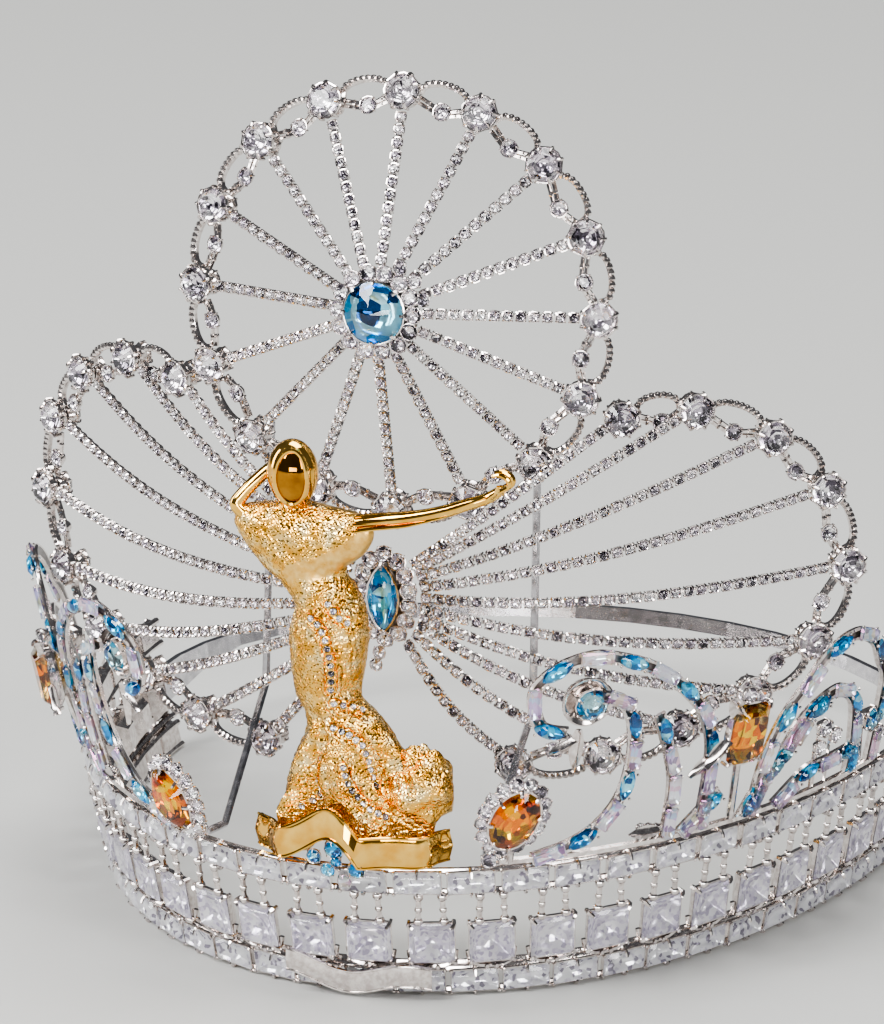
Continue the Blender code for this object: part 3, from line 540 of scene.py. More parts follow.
def makeBarRow(name, low, stands):
    piece = newPiece()
    middle = low + barRow["height"] / 2
    x, y = barRow["halfLength"], barRow["halfHeight"]
    stone = stepCut(x, y, 0.25 * mm, (0.74, 0.52), 1.0 * mm, 1.4 * mm, 0.6)
    cup = prism([(1, 1), (-1, 1), (-1, -1), (1, -1)], [
        (x * 0.9, y * 0.8, -1.9 * mm), (x + 0.2 * mm, y + 0.2 * mm, -0.3 * mm),
        (x + 0.2 * mm, y + 0.2 * mm, 0.1 * mm),
        (x + 0.02 * mm, y + 0.02 * mm, 0.12 * mm), (x * 0.7, y * 0.3, -1.6 * mm)])
    angles = evenAngles(barRow["pitch"], middle)
    for angle in angles:
        place = bandFrame(angle, middle, 0.45 * mm)
        addPlated(piece, cup, place)
        addStone(piece, stone, "ice", place @ shift(0, 0, 0.12))
        for turn in (pi / 2, -pi / 2):
            edge = place @ spun(turn) @ Matrix.Translation((y, 0, 0))
            addClaw(piece, edge, (0.35, -1.2), (0.35, 0.5), (-0.75, 1.35), barRow["clawRadius"])
        for sx, sy in corners:
            corner = place @ Matrix.Translation((sx * (x + 0.1 * mm), sy * (y + 0.05 * mm), 0.3 * mm))
            addPlated(piece, ball(barRow["cornerBall"]), corner)
    for angle, height, out, size, colour in barRow["extras"] if low else ():
        chaton(piece, bandFrame(radians(angle), height * mm, out * mm), size * mm, colour)
    for height in (low + 0.7 * mm, low + barRow["height"] - 0.7 * mm):
        addRail(piece, height, -0.9 * mm, barRow["railWire"])
    placePiece(name, piece, (stands,))


makeBarRow("bottomStones", 0.0, "bottom_row")
makeBarRow("topStones", 21.6 * mm, "top_row")
print("bar rows made")


# square stones in deep open settings between the two rows

squareRow = {
    "low": 6.3 * mm,
    "rail": 1.2 * mm,
    "pitch": 12.0 * mm,
    "half": 4.35 * mm,
    "cupHalf": 4.6 * mm,
    "postTop": 21.4 * mm,
    "postWire": 0.6 * mm,
    "postBalls": ((0.05, 1.0), (0.46, 0.78), (0.9, 1.0)),  # share of the height and radius in millimetres
    "bowWire": 0.55 * mm,
}


def makeSquareRow():
    piece = newPiece()
    half, cupHalf = squareRow["half"], squareRow["cupHalf"]
    middle = squareRow["low"] + squareRow["rail"] / 2 + 4.7 * mm
    stone = stepCut(half, half, 0.4 * mm, (0.76, 0.76), 0.9 * mm, 2.9 * mm, 0.05)
    cup = prism([(1, 1), (-1, 1), (-1, -1), (1, -1)], [
        (cupHalf * 0.5, cupHalf * 0.5, -3.4 * mm), (cupHalf * 0.96, cupHalf * 0.96, -0.9 * mm),
        (cupHalf, cupHalf, 0), (half, half, 0), (half * 0.4, half * 0.4, -3.1 * mm)])
    for angle in evenAngles(squareRow["pitch"], middle):
        place = bandFrame(angle, middle, 0.9 * mm)
        addPlated(piece, cup, place)
        addStone(piece, stone, "frost", place @ shift(0, 0, 0.08))
        for sx, sy in corners:
            spin = place @ Matrix.Translation((sx * (half - 0.2 * mm), sy * (half - 0.2 * mm), 0))
            addClaw(piece, spin @ spun(atan2(sy, sx)), (0.2, -1.1), (0.35, 0.3), (-0.7, 0.95), 0.5)
        for sx in (-1, 1):
            # half of the bow under the cup
            bow = [place @ Vector((sx * cupHalf * 0.98, -cupHalf * 0.5, -1.2 * mm)),
                   place @ Vector((sx * cupHalf * 0.9, -cupHalf * 0.98, -0.6 * mm)),
                   place @ Vector((sx * cupHalf * 0.5, -cupHalf - 0.75 * mm, -0.5 * mm)),
                   place @ Vector((0, -cupHalf - 0.95 * mm, -0.5 * mm))]
            addPlated(piece, tube(bow, squareRow["bowWire"], 6))
            # a post with balls, from the cup up into the row above
            foot = place @ Vector((sx * 2.5 * mm, cupHalf + 0.1 * mm, 0.1 * mm))
            head = bandPoint(angle, squareRow["postTop"] - 0.2 * mm, 0.1 * mm)
            head += (foot - bandPoint(angle, foot.z, 0)) * 0.9
            head.z = squareRow["postTop"] + 1.0 * mm
            addPlated(piece, rod(foot, head, squareRow["postWire"]))
            for share, size in squareRow["postBalls"]:
                addPlated(piece, ball(size * mm, 7, 5), Matrix.Translation(foot.lerp(head, share)))
            bead = place @ shift(sx * 0.95, -0.9, -0.1) @ Matrix.Translation((0, -cupHalf, 0))
            addPlated(piece, ball(0.6 * mm), bead)
    addRail(piece, squareRow["low"] + squareRow["rail"] / 2, -0.5 * mm, squareRow["rail"] / 2)
    placePiece("squareStones", piece, ("square_row",))


makeSquareRow()
print("square row made")


# round stones in claw cups, one facing front and a smaller one behind

roundCup = {
    "stone": 3.45 * mm,
    "backStone": 2.35 * mm,
    "claws": 8,
}


def doubleCup(piece, place):
    chaton(piece, place @ shift(0, 0, 2.1), roundCup["stone"], claws=roundCup["claws"], sides=16, depth=0.8)
    back = place @ shift(0, 0, -2.7) @ Matrix.Rotation(pi, 4, "X")
    chaton(piece, back, roundCup["backStone"], claws=6)
    # a ring between the cups in the copy of the plate painted darker as shade
    addShape(piece, turned(10, ((1.5, -1.2), (1.9, -0.6))), "castBack", place)


link = {
    "near": 3.3 * mm,  # from the middle of a cup
    "bow": (0.55 * mm, 2.9 * mm),  # its distance out at the ends and what it gains half way
    "bowWire": 0.55 * mm,
    "bead": 0.76 * mm,
    "beadPitch": 1.15 * mm,
    "stone": 1.7,
    "barWire": 0.46 * mm,
}


def linkBetween(piece, first, second, centre):
    # a beaded bow outside; inside a bead, a small stone and a bar that join the two cups
    start, end = first.translation, second.translation
    along = (end - start).normalized()
    normal = (first.col[2] + second.col[2]).to_3d().normalized()
    outWay = along.cross(normal).normalized()
    if outWay.dot((start + end) / 2 - centre) < 0:
        outWay.negate()
    near, pitch = link["near"], link["beadPitch"]
    span = (end - start).length - 2 * near
    low = start + along * near
    arc = []
    for k in range(13):
        turn = pi * k / 12
        rise = link["bow"][0] + link["bow"][1] * sin(turn) ** 0.7
        arc.append(low + along * (span * (0.5 - 0.5 * cos(turn) * 1.04)) + outWay * rise)
    addPlated(piece, tube(arc, link["bowWire"], 6, flat=1.6, normal=normal))
    travel = 0.0
    last = arc[0]
    for k in range(1, 13):
        side = (arc[k] - arc[k - 1]).normalized().cross(normal).normalized()
        if side.dot(outWay) < 0:
            side.negate()
        while travel + (arc[k] - last).length >= pitch:
            last = last + (arc[k] - last).normalized() * (pitch - travel)
            travel = 0.0
            bead = Matrix.Translation(last + side * 0.2 * mm + normal * 0.45 * mm)
            addPlated(piece, ball(link["bead"]), bead)
        travel += (arc[k] - last).length
        last = arc[k]
    small = low + along * span * 0.56 - outWay * 1.7 * mm + normal * 0.9 * mm
    chaton(piece, placed(small, normal, outWay), link["stone"] * mm)
    for side in (-0.55, 0.55):
        # two wires from the first cup to the small stone, and two on to the next cup
        aside = outWay * (side - 0.6) * mm
        beside = outWay * (side * 0.8) * mm - normal * 0.6 * mm
        wires = ((low + aside, small - along * 1.3 * mm + beside, 0.55, 0.6),
                 (small + along * 1.3 * mm + beside, end - along * near + aside, 0.5, 0.5))
        for foot, head, share, size in wires:
            addPlated(piece, rod(foot, head, link["barWire"], 5))
            addPlated(piece, ball(size * mm), Matrix.Translation(foot.lerp(head, share)))


# cup chain: small stones in square claw cups on a wire

cupChain = {
    "pitch": 2.6 * mm,
    "shortOf": 3.5 * mm,  # where a spoke ends before the middle of its cup
    "stone": 1.06 * mm,
    "cup": ((0.7, -1.15), (1.12, -0.5), (1.24, 0.06), (1.06, 0.08), (0.4, -0.65)),
    "claw": ((1.2, -0.6), (1.24, 0.1), (0.84, 0.46)),
}
chainStone = brilliant(oval(8, cupChain["stone"], cupChain["stone"]), 0.55, 0.45 * mm, 0.55 * mm)
chainCup = turned(8, cupChain["cup"], pi / 8)
chainClaw = tube([Vector((x * mm, 0, z * mm)) for x, z in cupChain["claw"]], 0.22 * mm, 4, (1, 1, 0.8))


def chainAlong(piece, route, normalAt):
    # each small stone leans a little its own way
    travel = lengths(route)
    count = max(2, round(travel[-1] / cupChain["pitch"]))
    pitch = travel[-1] / count
    for n in range(count):
        spot, k = pointAt(route, travel, (n + 0.5) * pitch)
        along = (route[k] - route[k - 1]).normalized()
        normal = normalAt(spot)
        normal = (normal - along * normal.dot(along)).normalized()
        sideways, onward = random.uniform(-0.06, 0.06), random.uniform(-0.06, 0.06)
        tilted = (normal + along.cross(normal) * sideways + along * onward).normalized()
        place = placed(spot + normal * 0.35 * mm, tilted, along)
        addStone(piece, chainStone, "clear", place)
        addPlated(piece, chainCup, place)
        for i in range(4):
            addPlated(piece, chainClaw, place @ spun(pi * (2 * i + 1) / 4))
    back = [p - normalAt(p) * 0.55 * mm for p in route]
    addPlated(piece, tube(back, 0.42 * mm, 5))


def halo(piece, place, count, halfX, halfY, radius, start=0.0, height=0.0):
    # small cups evenly round an oval
    steps = 360
    turns = [2 * pi * i / steps + start for i in range(steps + 1)]
    ring = [Vector((halfX * cos(t), halfY * sin(t), height)) for t in turns]
    travel = lengths(ring)
    for n in range(count):
        k = reached(travel, travel[-1] * n / count)
        lean = Matrix.Rotation(0.22, 4, Vector((-ring[k].y, ring[k].x, 0)).normalized())
        chaton(piece, place @ Matrix.Translation(ring[k]) @ lean, radius)


# wheel

wheel = {
    "radius": 40.303 * mm,
    "height": 128.0 * mm,
    "front": 77.703 * mm,
    "lean": radians(7),
    "stones": 16,
    "hubForward": 14.2 * mm,
    "hubStone": 6.1 * mm,
    "haloStones": 14,
    "haloRadius": 1.65 * mm,
    "spokeStart": 8.9 * mm,
    "hubCup": ((4.6, -2.2), (6.1, -0.4), (6.35, 0.8), (6.1, 0.85), (2.4, -1.9)),
    "cluster": ((62, 9.9), (40, 10.0), (18, 9.9)),  # degrees and distance out in millimetres
}


def makeWheel():
    centre = Vector((0, band["shift"] - wheel["front"], wheel["height"]))
    plane = placed(centre, (0, -cos(wheel["lean"]), sin(wheel["lean"])), (0, 0, 1))
    hub = plane @ Matrix.Translation((0, 0, wheel["hubForward"]))
    cone = atan2(wheel["hubForward"], wheel["radius"])
    places = []
    for i in range(wheel["stones"]):
        turn = pi / 2 - 2 * pi * i / wheel["stones"]
        radial = Vector((cos(turn), sin(turn), 0))
        normal = plane.to_3x3() @ (radial * sin(cone) + Vector((0, 0, cos(cone))))
        places.append(placed(plane @ (radial * wheel["radius"]), normal, plane.to_3x3() @ radial))
    ring, spokes, hubPiece = newPiece(), newPiece(), newPiece()
    for i, place in enumerate(places):
        doubleCup(ring, place)
        linkBetween(ring, place, places[(i + 1) % len(places)], centre)
        toward = (place.translation - hub.translation).normalized()
        start = hub.translation + toward * wheel["spokeStart"]
        end = place.translation - toward * cupChain["shortOf"]
        front = place.col[2].to_3d()
        chainAlong(spokes, [start.lerp(end, k / 8) for k in range(9)], lambda p, front=front: front)
    stones = [f"wheel_stone_{n:02d}" for n in range(1, 17)]
    placePiece("wheelRing", ring, stones)
    placePiece("wheelSpokes", spokes, ("wheel_frame",))
    rivoli = brilliant(oval(20, wheel["hubStone"], wheel["hubStone"]), 0.14, 2.9 * mm, 2.2 * mm)
    addStone(hubPiece, rivoli, "sky", hub @ shift(0, 0, 0.75))
    addPlated(hubPiece, turned(24, wheel["hubCup"]), hub)
    for i in range(8):
        spin = hub @ spun(2 * pi * i / 8)
        addClaw(hubPiece, spin, (6.3, -0.5), (6.4, 1.0), (5.5, 1.75), 0.42)
    out = 6.0 * mm + wheel["haloRadius"]
    halo(hubPiece, hub, wheel["haloStones"], out, out, wheel["haloRadius"], height=-0.2 * mm)
    for turn, far in wheel["cluster"]:
        spot = spun(radians(turn)) @ Vector((far * mm, 0, -0.6 * mm))
        chaton(hubPiece, hub @ Matrix.Translation(spot), 1.35 * mm)
    # a backing ring behind the hub, painted darker as shade
    addShape(hubPiece, turned(24, ((7.6, -2.2), (8.4, -1.6))), "castBack", hub)
    placePiece("wheelHub", hubPiece, ("hub_stone",))


makeWheel()
print("wheel made")


# lobes: fans of bowed chains on a sheet swept back to the sides

lobes = {
    "reach": 82.004 * mm,
    "low": 38.0 * mm,
    "rise": 72.0 * mm,
    "front": 88.605 * mm,
    "sweep": 35.301 * mm,
    "bow": 4.3 * mm,
    "places": ((0.545, 0.985), (0.700, 0.995), (0.855, 0.900), (0.960, 0.735), (1.000, 0.515), (0.935, 0.315),
               (0.815, 0.185), (0.665, 0.105), (0.500, 0.040), (0.305, 0.020)),
    "marquiseHeight": 71.5 * mm,
    "marquise": (3.1 * mm, 6.8 * mm),
    "haloStones": 14,
    "haloX": 4.8 * mm,
    "haloZ": 8.2 * mm,
    "drop": ((-0.6, -8.6), (-1.3, -11.6), (-2.0, -14.1)),  # its wire from the halo, and two small cups on it
}


def sheetPoint(x, z, forward=0.0):
    bend = lobes["sweep"] * (x / lobes["reach"]) ** 2
    return Vector((x, band["shift"] - lobes["front"] + bend - forward, z))


def sheetNormal(p):
    slope = 2 * lobes["sweep"] * p.x / lobes["reach"] ** 2
    return Vector((slope, -1, 0)).normalized()


def makeLobe(side, label):
    centre = sheetPoint(0, lobes["marquiseHeight"])
    places = []
    for across, up in lobes["places"]:
        x = side * lobes["reach"] * across
        spot = sheetPoint(x, lobes["low"] + lobes["rise"] * up)
        places.append(placed(spot, sheetNormal(spot), (0, 0, 1)))
    ring, spokes = newPiece(), newPiece()
    for i, place in enumerate(places):
        doubleCup(ring, place)
        if i:
            linkBetween(ring, places[i - 1], place, centre)
        reach = place.translation - centre
        turn = atan2(reach.z, abs(reach.x))
        nearX = side * (lobes["haloX"] + 2.6 * mm) * cos(turn)
        nearZ = lobes["marquiseHeight"] + (lobes["haloZ"] + 2.6 * mm) * sin(turn)
        route = []
        for k in range(13):
            share = k / 12
            x = nearX + (place.translation.x - nearX) * share
            z = nearZ + (place.translation.z - nearZ) * share
            route.append(sheetPoint(x, z, lobes["bow"] * sin(pi * share)))
        stop = (route[-1] - route[-2]).normalized()
        route[-1] = route[-1] - stop * cupChain["shortOf"]
        chainAlong(spokes, route, sheetNormal)
    stones = [f"lobe_stone_{label}_{n:02d}" for n in range(1, 11)]
    placePiece(f"lobeRing.{label}", ring, stones)
    placePiece(f"lobeSpokes.{label}", spokes, (f"lobe_{label}",))


def makeMarquise():
    piece = newPiece()
    place = placed(sheetPoint(0, lobes["marquiseHeight"]), (0, -1, 0), (0, 0, 1))
    wide, tall = lobes["marquise"]
    outline = []
    for i in range(16):
        turn = 2 * pi * i / 16
        x, y = cos(turn), sin(turn)
        outline.append((wide * (abs(x) ** 1.75) * (1 if x > 0 else -1), tall * y))
    addStone(piece, brilliant(outline, 0.5, 1.6 * mm, 1.6 * mm), "aqua", place @ shift(0, 0, 0.9))
    cup = prism(outline, [(0.8, 0.88, -1.6 * mm), (1.1, 1.05, -0.3 * mm), (1.12, 1.06, 1.0 * mm),
                          (1.01, 1.0, 1.05 * mm), (0.5, 0.5, -1.2 * mm)])
    addPlated(piece, cup, place)
    for turn, dx, dy in ((pi / 2, 0, tall), (-pi / 2, 0, -tall)):
        spin = place @ Matrix.Translation((dx, dy, 0)) @ spun(turn)
        addClaw(piece, spin, (0.3, -0.6), (0.4, 1.2), (-0.9, 1.9), 0.42)
    halo(piece, place, lobes["haloStones"], 5.1 * mm, 8.6 * mm, 1.7 * mm, start=pi / 2, height=-0.1 * mm)
    for across, down in lobes["drop"][1:]:
        chaton(piece, place @ shift(across, down, -0.4), 1.3 * mm)
    drop = [place @ Vector((across * mm, down * mm, -1.4 * mm)) for across, down in lobes["drop"]]
    addPlated(piece, tube(drop, 0.45 * mm, 6))
    # a plate behind the marquise, painted darker as shade
    plate = prism(circle(24), [(4.6 * mm, 8.0 * mm, -2.2 * mm), (5.3 * mm, 8.6 * mm, -1.5 * mm)])
    addShape(piece, plate, "castBack", place)
    placePiece("marquise", piece, ("marquise_setting", "marquise_stone"))


for side, label in ((-1, "left"), (1, "right")):
    makeLobe(side, label)
makeMarquise()
print("lobes made")


# amber flowers

ambers = {
    "long": 6.0 * mm,
    "wide": 4.3 * mm,
    "standOff": 5.0 * mm,
    "stem": 0.8 * mm,
    "haloStones": 15,
    "haloRadius": 1.38 * mm,
    "crownStones": ((-0.6, 8.0, 1.7), (2.6, 7.2, 1.5)),  # across, up and radius in millimetres
    "leaves": ((2.0, 3.4, 48, 7.5), (4.2, -1.0, -35, 7.5)),  # across, up, direction and length
    "places": {  # degrees at stem and stone, height in millimetres, lean in degrees, and if it has a halo
        "right_1": (22.3, 22.6, 39.895, -28.0, True),
        "right_2": (50.3, 49.0, 50.185, -6.0, False),
        "left_1": (-21.4, -20.9, 37.192, 28.0, True),
        "left_2": (-50.2, -49.3, 46.784, 6.0, False),
    },
}


def makeAmber(label, stemAngle, angle, height, lean, withHalo):
    piece = newPiece()
    place = bandFrame(radians(angle), height * mm, ambers["standOff"], radians(lean))
    wide, long = ambers["wide"] + 0.25 * mm, ambers["long"] + 0.5 * mm
    if withHalo:
        stone = brilliant(oval(20, wide, long), 0.6, 1.9 * mm, 2.4 * mm)
    else:
        stone = stepCut(wide, long, 1.5 * mm, (0.62, 0.7), 1.8 * mm, 2.6 * mm, 0.2)
    addStone(piece, stone, "amber", place @ shift(0, 0, 0.9))
    back = place @ shift(0, 0, -1.2) @ Matrix.Rotation(pi, 4, "X")
    addStone(piece, brilliant(oval(16, wide * 0.86, long * 0.86), 0.6, 1.5 * mm, 0.9 * mm), "amber", back)
    cup = prism(circle(24), [(wide * 0.9, long * 0.9, -1.3 * mm), (wide * 1.06, long * 1.05, -0.6 * mm),
                             (wide * 1.08, long * 1.06, 0.9 * mm), (wide * 1.0, long * 1.0, 0.95 * mm),
                             (wide * 0.5, long * 0.5, -1.25 * mm)])
    addPlated(piece, cup, place)
    claws = 8 if withHalo else 4
    for i in range(claws):
        turn = 2 * pi * (i + 0.5) / claws
        dx, dy = wide * cos(turn), long * sin(turn)
        if not withHalo:
            dx, dy = copysign(wide - 0.6 * mm, dx), copysign(long - 0.6 * mm, dy)
        spin = place @ Matrix.Translation((dx, dy, 0)) @ spun(atan2(dy, dx))
        addClaw(piece, spin, (0.3, -0.5), (0.35, 1.2), (-0.6, 1.9), 0.4)
    if withHalo:
        halo(piece, place, ambers["haloStones"], wide + 1.2 * mm, long + 1.1 * mm, ambers["haloRadius"],
             start=0.3, height=-0.5 * mm)
    else:
        lean = -1 if angle > 0 else 1
        for dx, dy, r in ambers["crownStones"]:
            chaton(piece, place @ shift(-lean * dx, dy, 0), r * mm)
        for dx, dy, turn, size in ambers["leaves"]:
            spot = place @ shift(lean * dx, dy, 0.6)
            way = turn if lean > 0 else 180 - turn
            shape = leaf(size * mm, 3.8 * mm, 1.1 * mm, 0.9 * mm)
            addPlated(piece, shape, spot @ spun(radians(way)))
    foot = bandPoint(radians(stemAngle), band["top"] + 0.9 * mm)
    rise = bandPoint(radians(angle), height * mm, ambers["standOff"] - 1.4 * mm)
    addPlated(piece, rod(foot, rise, ambers["stem"], 8))
    placePiece(f"amberFlower.{label}", piece, (f"amber_flower_{label}",))


for label, facts in ambers["places"].items():
    makeAmber(label, *facts)
print("ambers made")


# scrolls: blue pointed stones and pale bars in turn, between two wires

scrolls = {
    "rise": 43.6 * mm,
    "lean": 3.0 * mm,
    "wire": 0.8 * mm,
    "halfLength": 2.75 * mm,
    "halfWidth": 1.3 * mm,
    "curves": (  # degrees round the band and share of the rise, then the stones: b blue, p pale
        ("pbpbpbp", ((25.0, 0.0), (29.6, 0.05), (33.0, 0.13), (35.4, 0.26), (36.4, 0.44), (36.2, 0.62),
                     (34.8, 0.75), (32.6, 0.79))),
        ("bpbpbpbpbpp", ((28.6, 0.63), (25.6, 0.68), (24.9, 0.85), (27.5, 0.96), (31.2, 1.0), (34.8, 0.96),
                         (38.2, 0.89), (41.4, 0.78), (44.2, 0.64), (45.8, 0.48), (46.2, 0.30), (46.0, 0.0))),
        ("bppp", ((39.2, 0.65), (41.0, 0.43), (41.8, 0.27), (41.6, 0.0))),
        ("pb", ((43.4, 0.0), (46.4, 0.11), (48.4, 0.17))),
        ("bpbpb", ((51.8, 0.0), (54.6, 0.19), (57.3, 0.29), (59.4, 0.41), (61.9, 0.47))),
        ("bpbpbpbpbp", ((53.2, 0.0), (53.6, 0.20), (54.6, 0.36), (56.0, 0.48), (58.2, 0.59), (60.0, 0.69),
                        (62.5, 0.75), (65.2, 0.75), (67.8, 0.68), (69.6, 0.56), (71.6, 0.42), (72.4, 0.0))),
        ("pbpb", ((56.5, 0.0), (60.5, 0.11), (64.0, 0.12), (69.0, 0.13))),
        ("pbpbpbpb", ((52.6, 0.0), (54.0, 0.14), (56.3, 0.26), (58.5, 0.40), (61.0, 0.47), (63.5, 0.49),
                      (65.6, 0.44), (67.0, 0.34), (68.3, 0.10), (68.4, 0.0))),
    ),
    "rounds": (  # degrees, height over the band and radius in millimetres, colour
        (19.9, 2.0, 1.7, "clear"), (62.6, 14.6, 1.9, "clear"), (64.6, 11.9, 1.6, "clear"),
        (70.9, 11.4, 2.5, "aqua"), (62.2, 10.6, 1.5, "clear"), (73.0, 7.0, 1.7, "clear"),
        (38.1, 4.9, 0.95, "clear"), (39.1, 4.5, 1.05, "clear"), (40.1, 4.1, 1.05, "clear"),
    ),
    "leaves": (  # degrees and height over the band in millimetres, direction, length, width
        (30.0, 28.9, -96, 8.8, 3.0), (29.8, 26.6, -162, 6.0, 2.8), (47.0, 17.4, -158, 7.6, 3.4),
        (40.6, 3.6, 172, 7.6, 3.0),
    ),
    "clawBall": 0.34 * mm,
    "rail": 0.5 * mm,  # the wires on both sides of the stones, and their distance from the middle
    "aside": 0.95 * mm,
    "foot": (20.5, 73.0),  # degrees, the wire that they stand on
    "bowlAngle": 31.0,
    "bowlShare": 0.78,
    "bowlRadius": 5.2 * mm,
    "bowlStone": 3.3 * mm,
    "bowl": (  # radius and height in shares of the bowl's radius, from the outside in
        (0.25, -0.52), (0.6, -0.44), (0.86, -0.24), (1.0, 0.06), (1.0, 0.14), (0.92, 0.12), (0.7, -0.12),
        (0.4, -0.24), (0.2, -0.26),
    ),
}


def scrollRoute(points, side):
    low = band["top"] + 0.3 * mm + scrolls["wire"]
    places = [(side * radians(a), low + scrolls["rise"] * h, scrolls["lean"] * h) for a, h in points]
    return [bandPoint(*place) for place in smoothRoute(places, 10)]


def outwardFrom(p):
    y = p.y - band["shift"]
    return Vector((p.x / band["halfWidth"] ** 2, y / band["frontReach"] ** 2, 0)).normalized()


def makeScroll(side, label):
    piece = newPiece()
    x, y = scrolls["halfLength"], scrolls["halfWidth"]
    pale = stepCut(x, y + 0.1 * mm, 0.12 * mm, (0.93, 0.66), 0.7 * mm, 0.9 * mm, 0.8)
    navette = []
    for i in range(12):
        turn = 2 * pi * i / 12
        c, s = cos(turn), sin(turn)
        navette.append((x * c, (y + 0.15 * mm) * (abs(s) ** 1.3) * (1 if s > 0 else -1)))
    blue = brilliant(navette, 0.55, 0.85 * mm, 0.9 * mm)
    for kinds, points in scrolls["curves"]:
        route = scrollRoute(points, side)
        travel = lengths(route)
        spacing = travel[-1] / len(kinds)
        for n, kind in enumerate(kinds):
            spot, k = pointAt(route, travel, (n + 0.5) * spacing)
            along = (route[min(k + 1, len(route) - 1)] - route[max(k - 2, 0)]).normalized()
            out = outwardFrom(spot)
            out = (out - along * out.dot(along)).normalized()
            across = out.cross(along)
            matrix = Matrix((along, across, out)).transposed().to_4x4()
            matrix.translation = spot + out * 1.0 * mm
            stretch = Matrix.Diagonal((min(1.25, spacing * 0.47 / x), 1, 1, 1))
            stone, colour = (pale, "aurora") if kind == "p" else (blue, "aqua")
            addStone(piece, stone, colour, matrix @ stretch)
            for sx, sy in corners:
                corner = Vector((sx * x * 0.82 * stretch[0][0], sy * y * 0.98, 0.1 * mm))
                addPlated(piece, ball(scrolls["clawBall"], 5, 4), matrix @ Matrix.Translation(corner))
        for sway in (-scrolls["aside"], scrolls["aside"]):
            rail = []
            for i, p in enumerate(route):
                along = (route[min(i + 1, len(route) - 1)] - route[max(i - 1, 0)]).normalized()
                out = outwardFrom(p)
                rail.append(p + out.cross(along).normalized() * sway - out * 0.1 * mm)
            addPlated(piece, tube(rail, scrolls["rail"], 5))
        # a strip under the stones, painted darker as shade
        floorStrip = [p - outwardFrom(p) * 0.35 * mm for p in route]
        facing = outwardFrom(route[len(route) // 2])
        addShape(piece, tube(floorStrip, 1.0 * mm, 6, flat=0.35, normal=facing), "castBack")
    start, end = (radians(a) for a in scrolls["foot"])
    if side < 0:
        start, end = -end, -start
    foot = [bandPoint(start + (end - start) * i / 40, band["top"] + 1.1 * mm) for i in range(41)]
    addPlated(piece, tube(foot, 0.8 * mm, 6))
    bowlHeight = band["top"] + 0.3 * mm + scrolls["rise"] * scrolls["bowlShare"]
    bowl = bandFrame(side * radians(scrolls["bowlAngle"]), bowlHeight)
    addPlated(piece, turned(28, scrolls["bowl"], unit=scrolls["bowlRadius"]), bowl)
    chaton(piece, bowl @ shift(side * 1.0, -1.0, 0.2), scrolls["bowlStone"], "aqua", 6, 16)
    for angle, up, size, colour in scrolls["rounds"]:
        spot = bandFrame(side * radians(angle), band["top"] + up * mm, 1.1 * mm)
        chaton(piece, spot, size * mm, colour, claws=6)
        foot = bandPoint(side * radians(angle), band["top"] + 1.1 * mm)
        addPlated(piece, rod(spot @ Vector((0, 0, -0.9 * size * mm)), foot, 0.35 * mm, 5))
    for angle, up, turn, size, width in scrolls["leaves"]:
        way = turn if side > 0 else 180 - turn
        spot = bandFrame(side * radians(angle), band["top"] + up * mm, 1.4 * mm, radians(way))
        addPlated(piece, leaf(size * mm, width * mm, 0.8 * mm, 0.5 * mm), spot)
    bead = bandPoint(side * radians(21.4), band["top"] + 1.9 * mm, 0.6 * mm)
    addPlated(piece, ball(1.1 * mm, 10, 8), Matrix.Translation(bead))
    placePiece(f"scroll.{label}", piece, (f"scroll_{label}",))


for side, label in ((-1, "left"), (1, "right")):
    makeScroll(side, label)
print("scrolls made")


# gold dancer

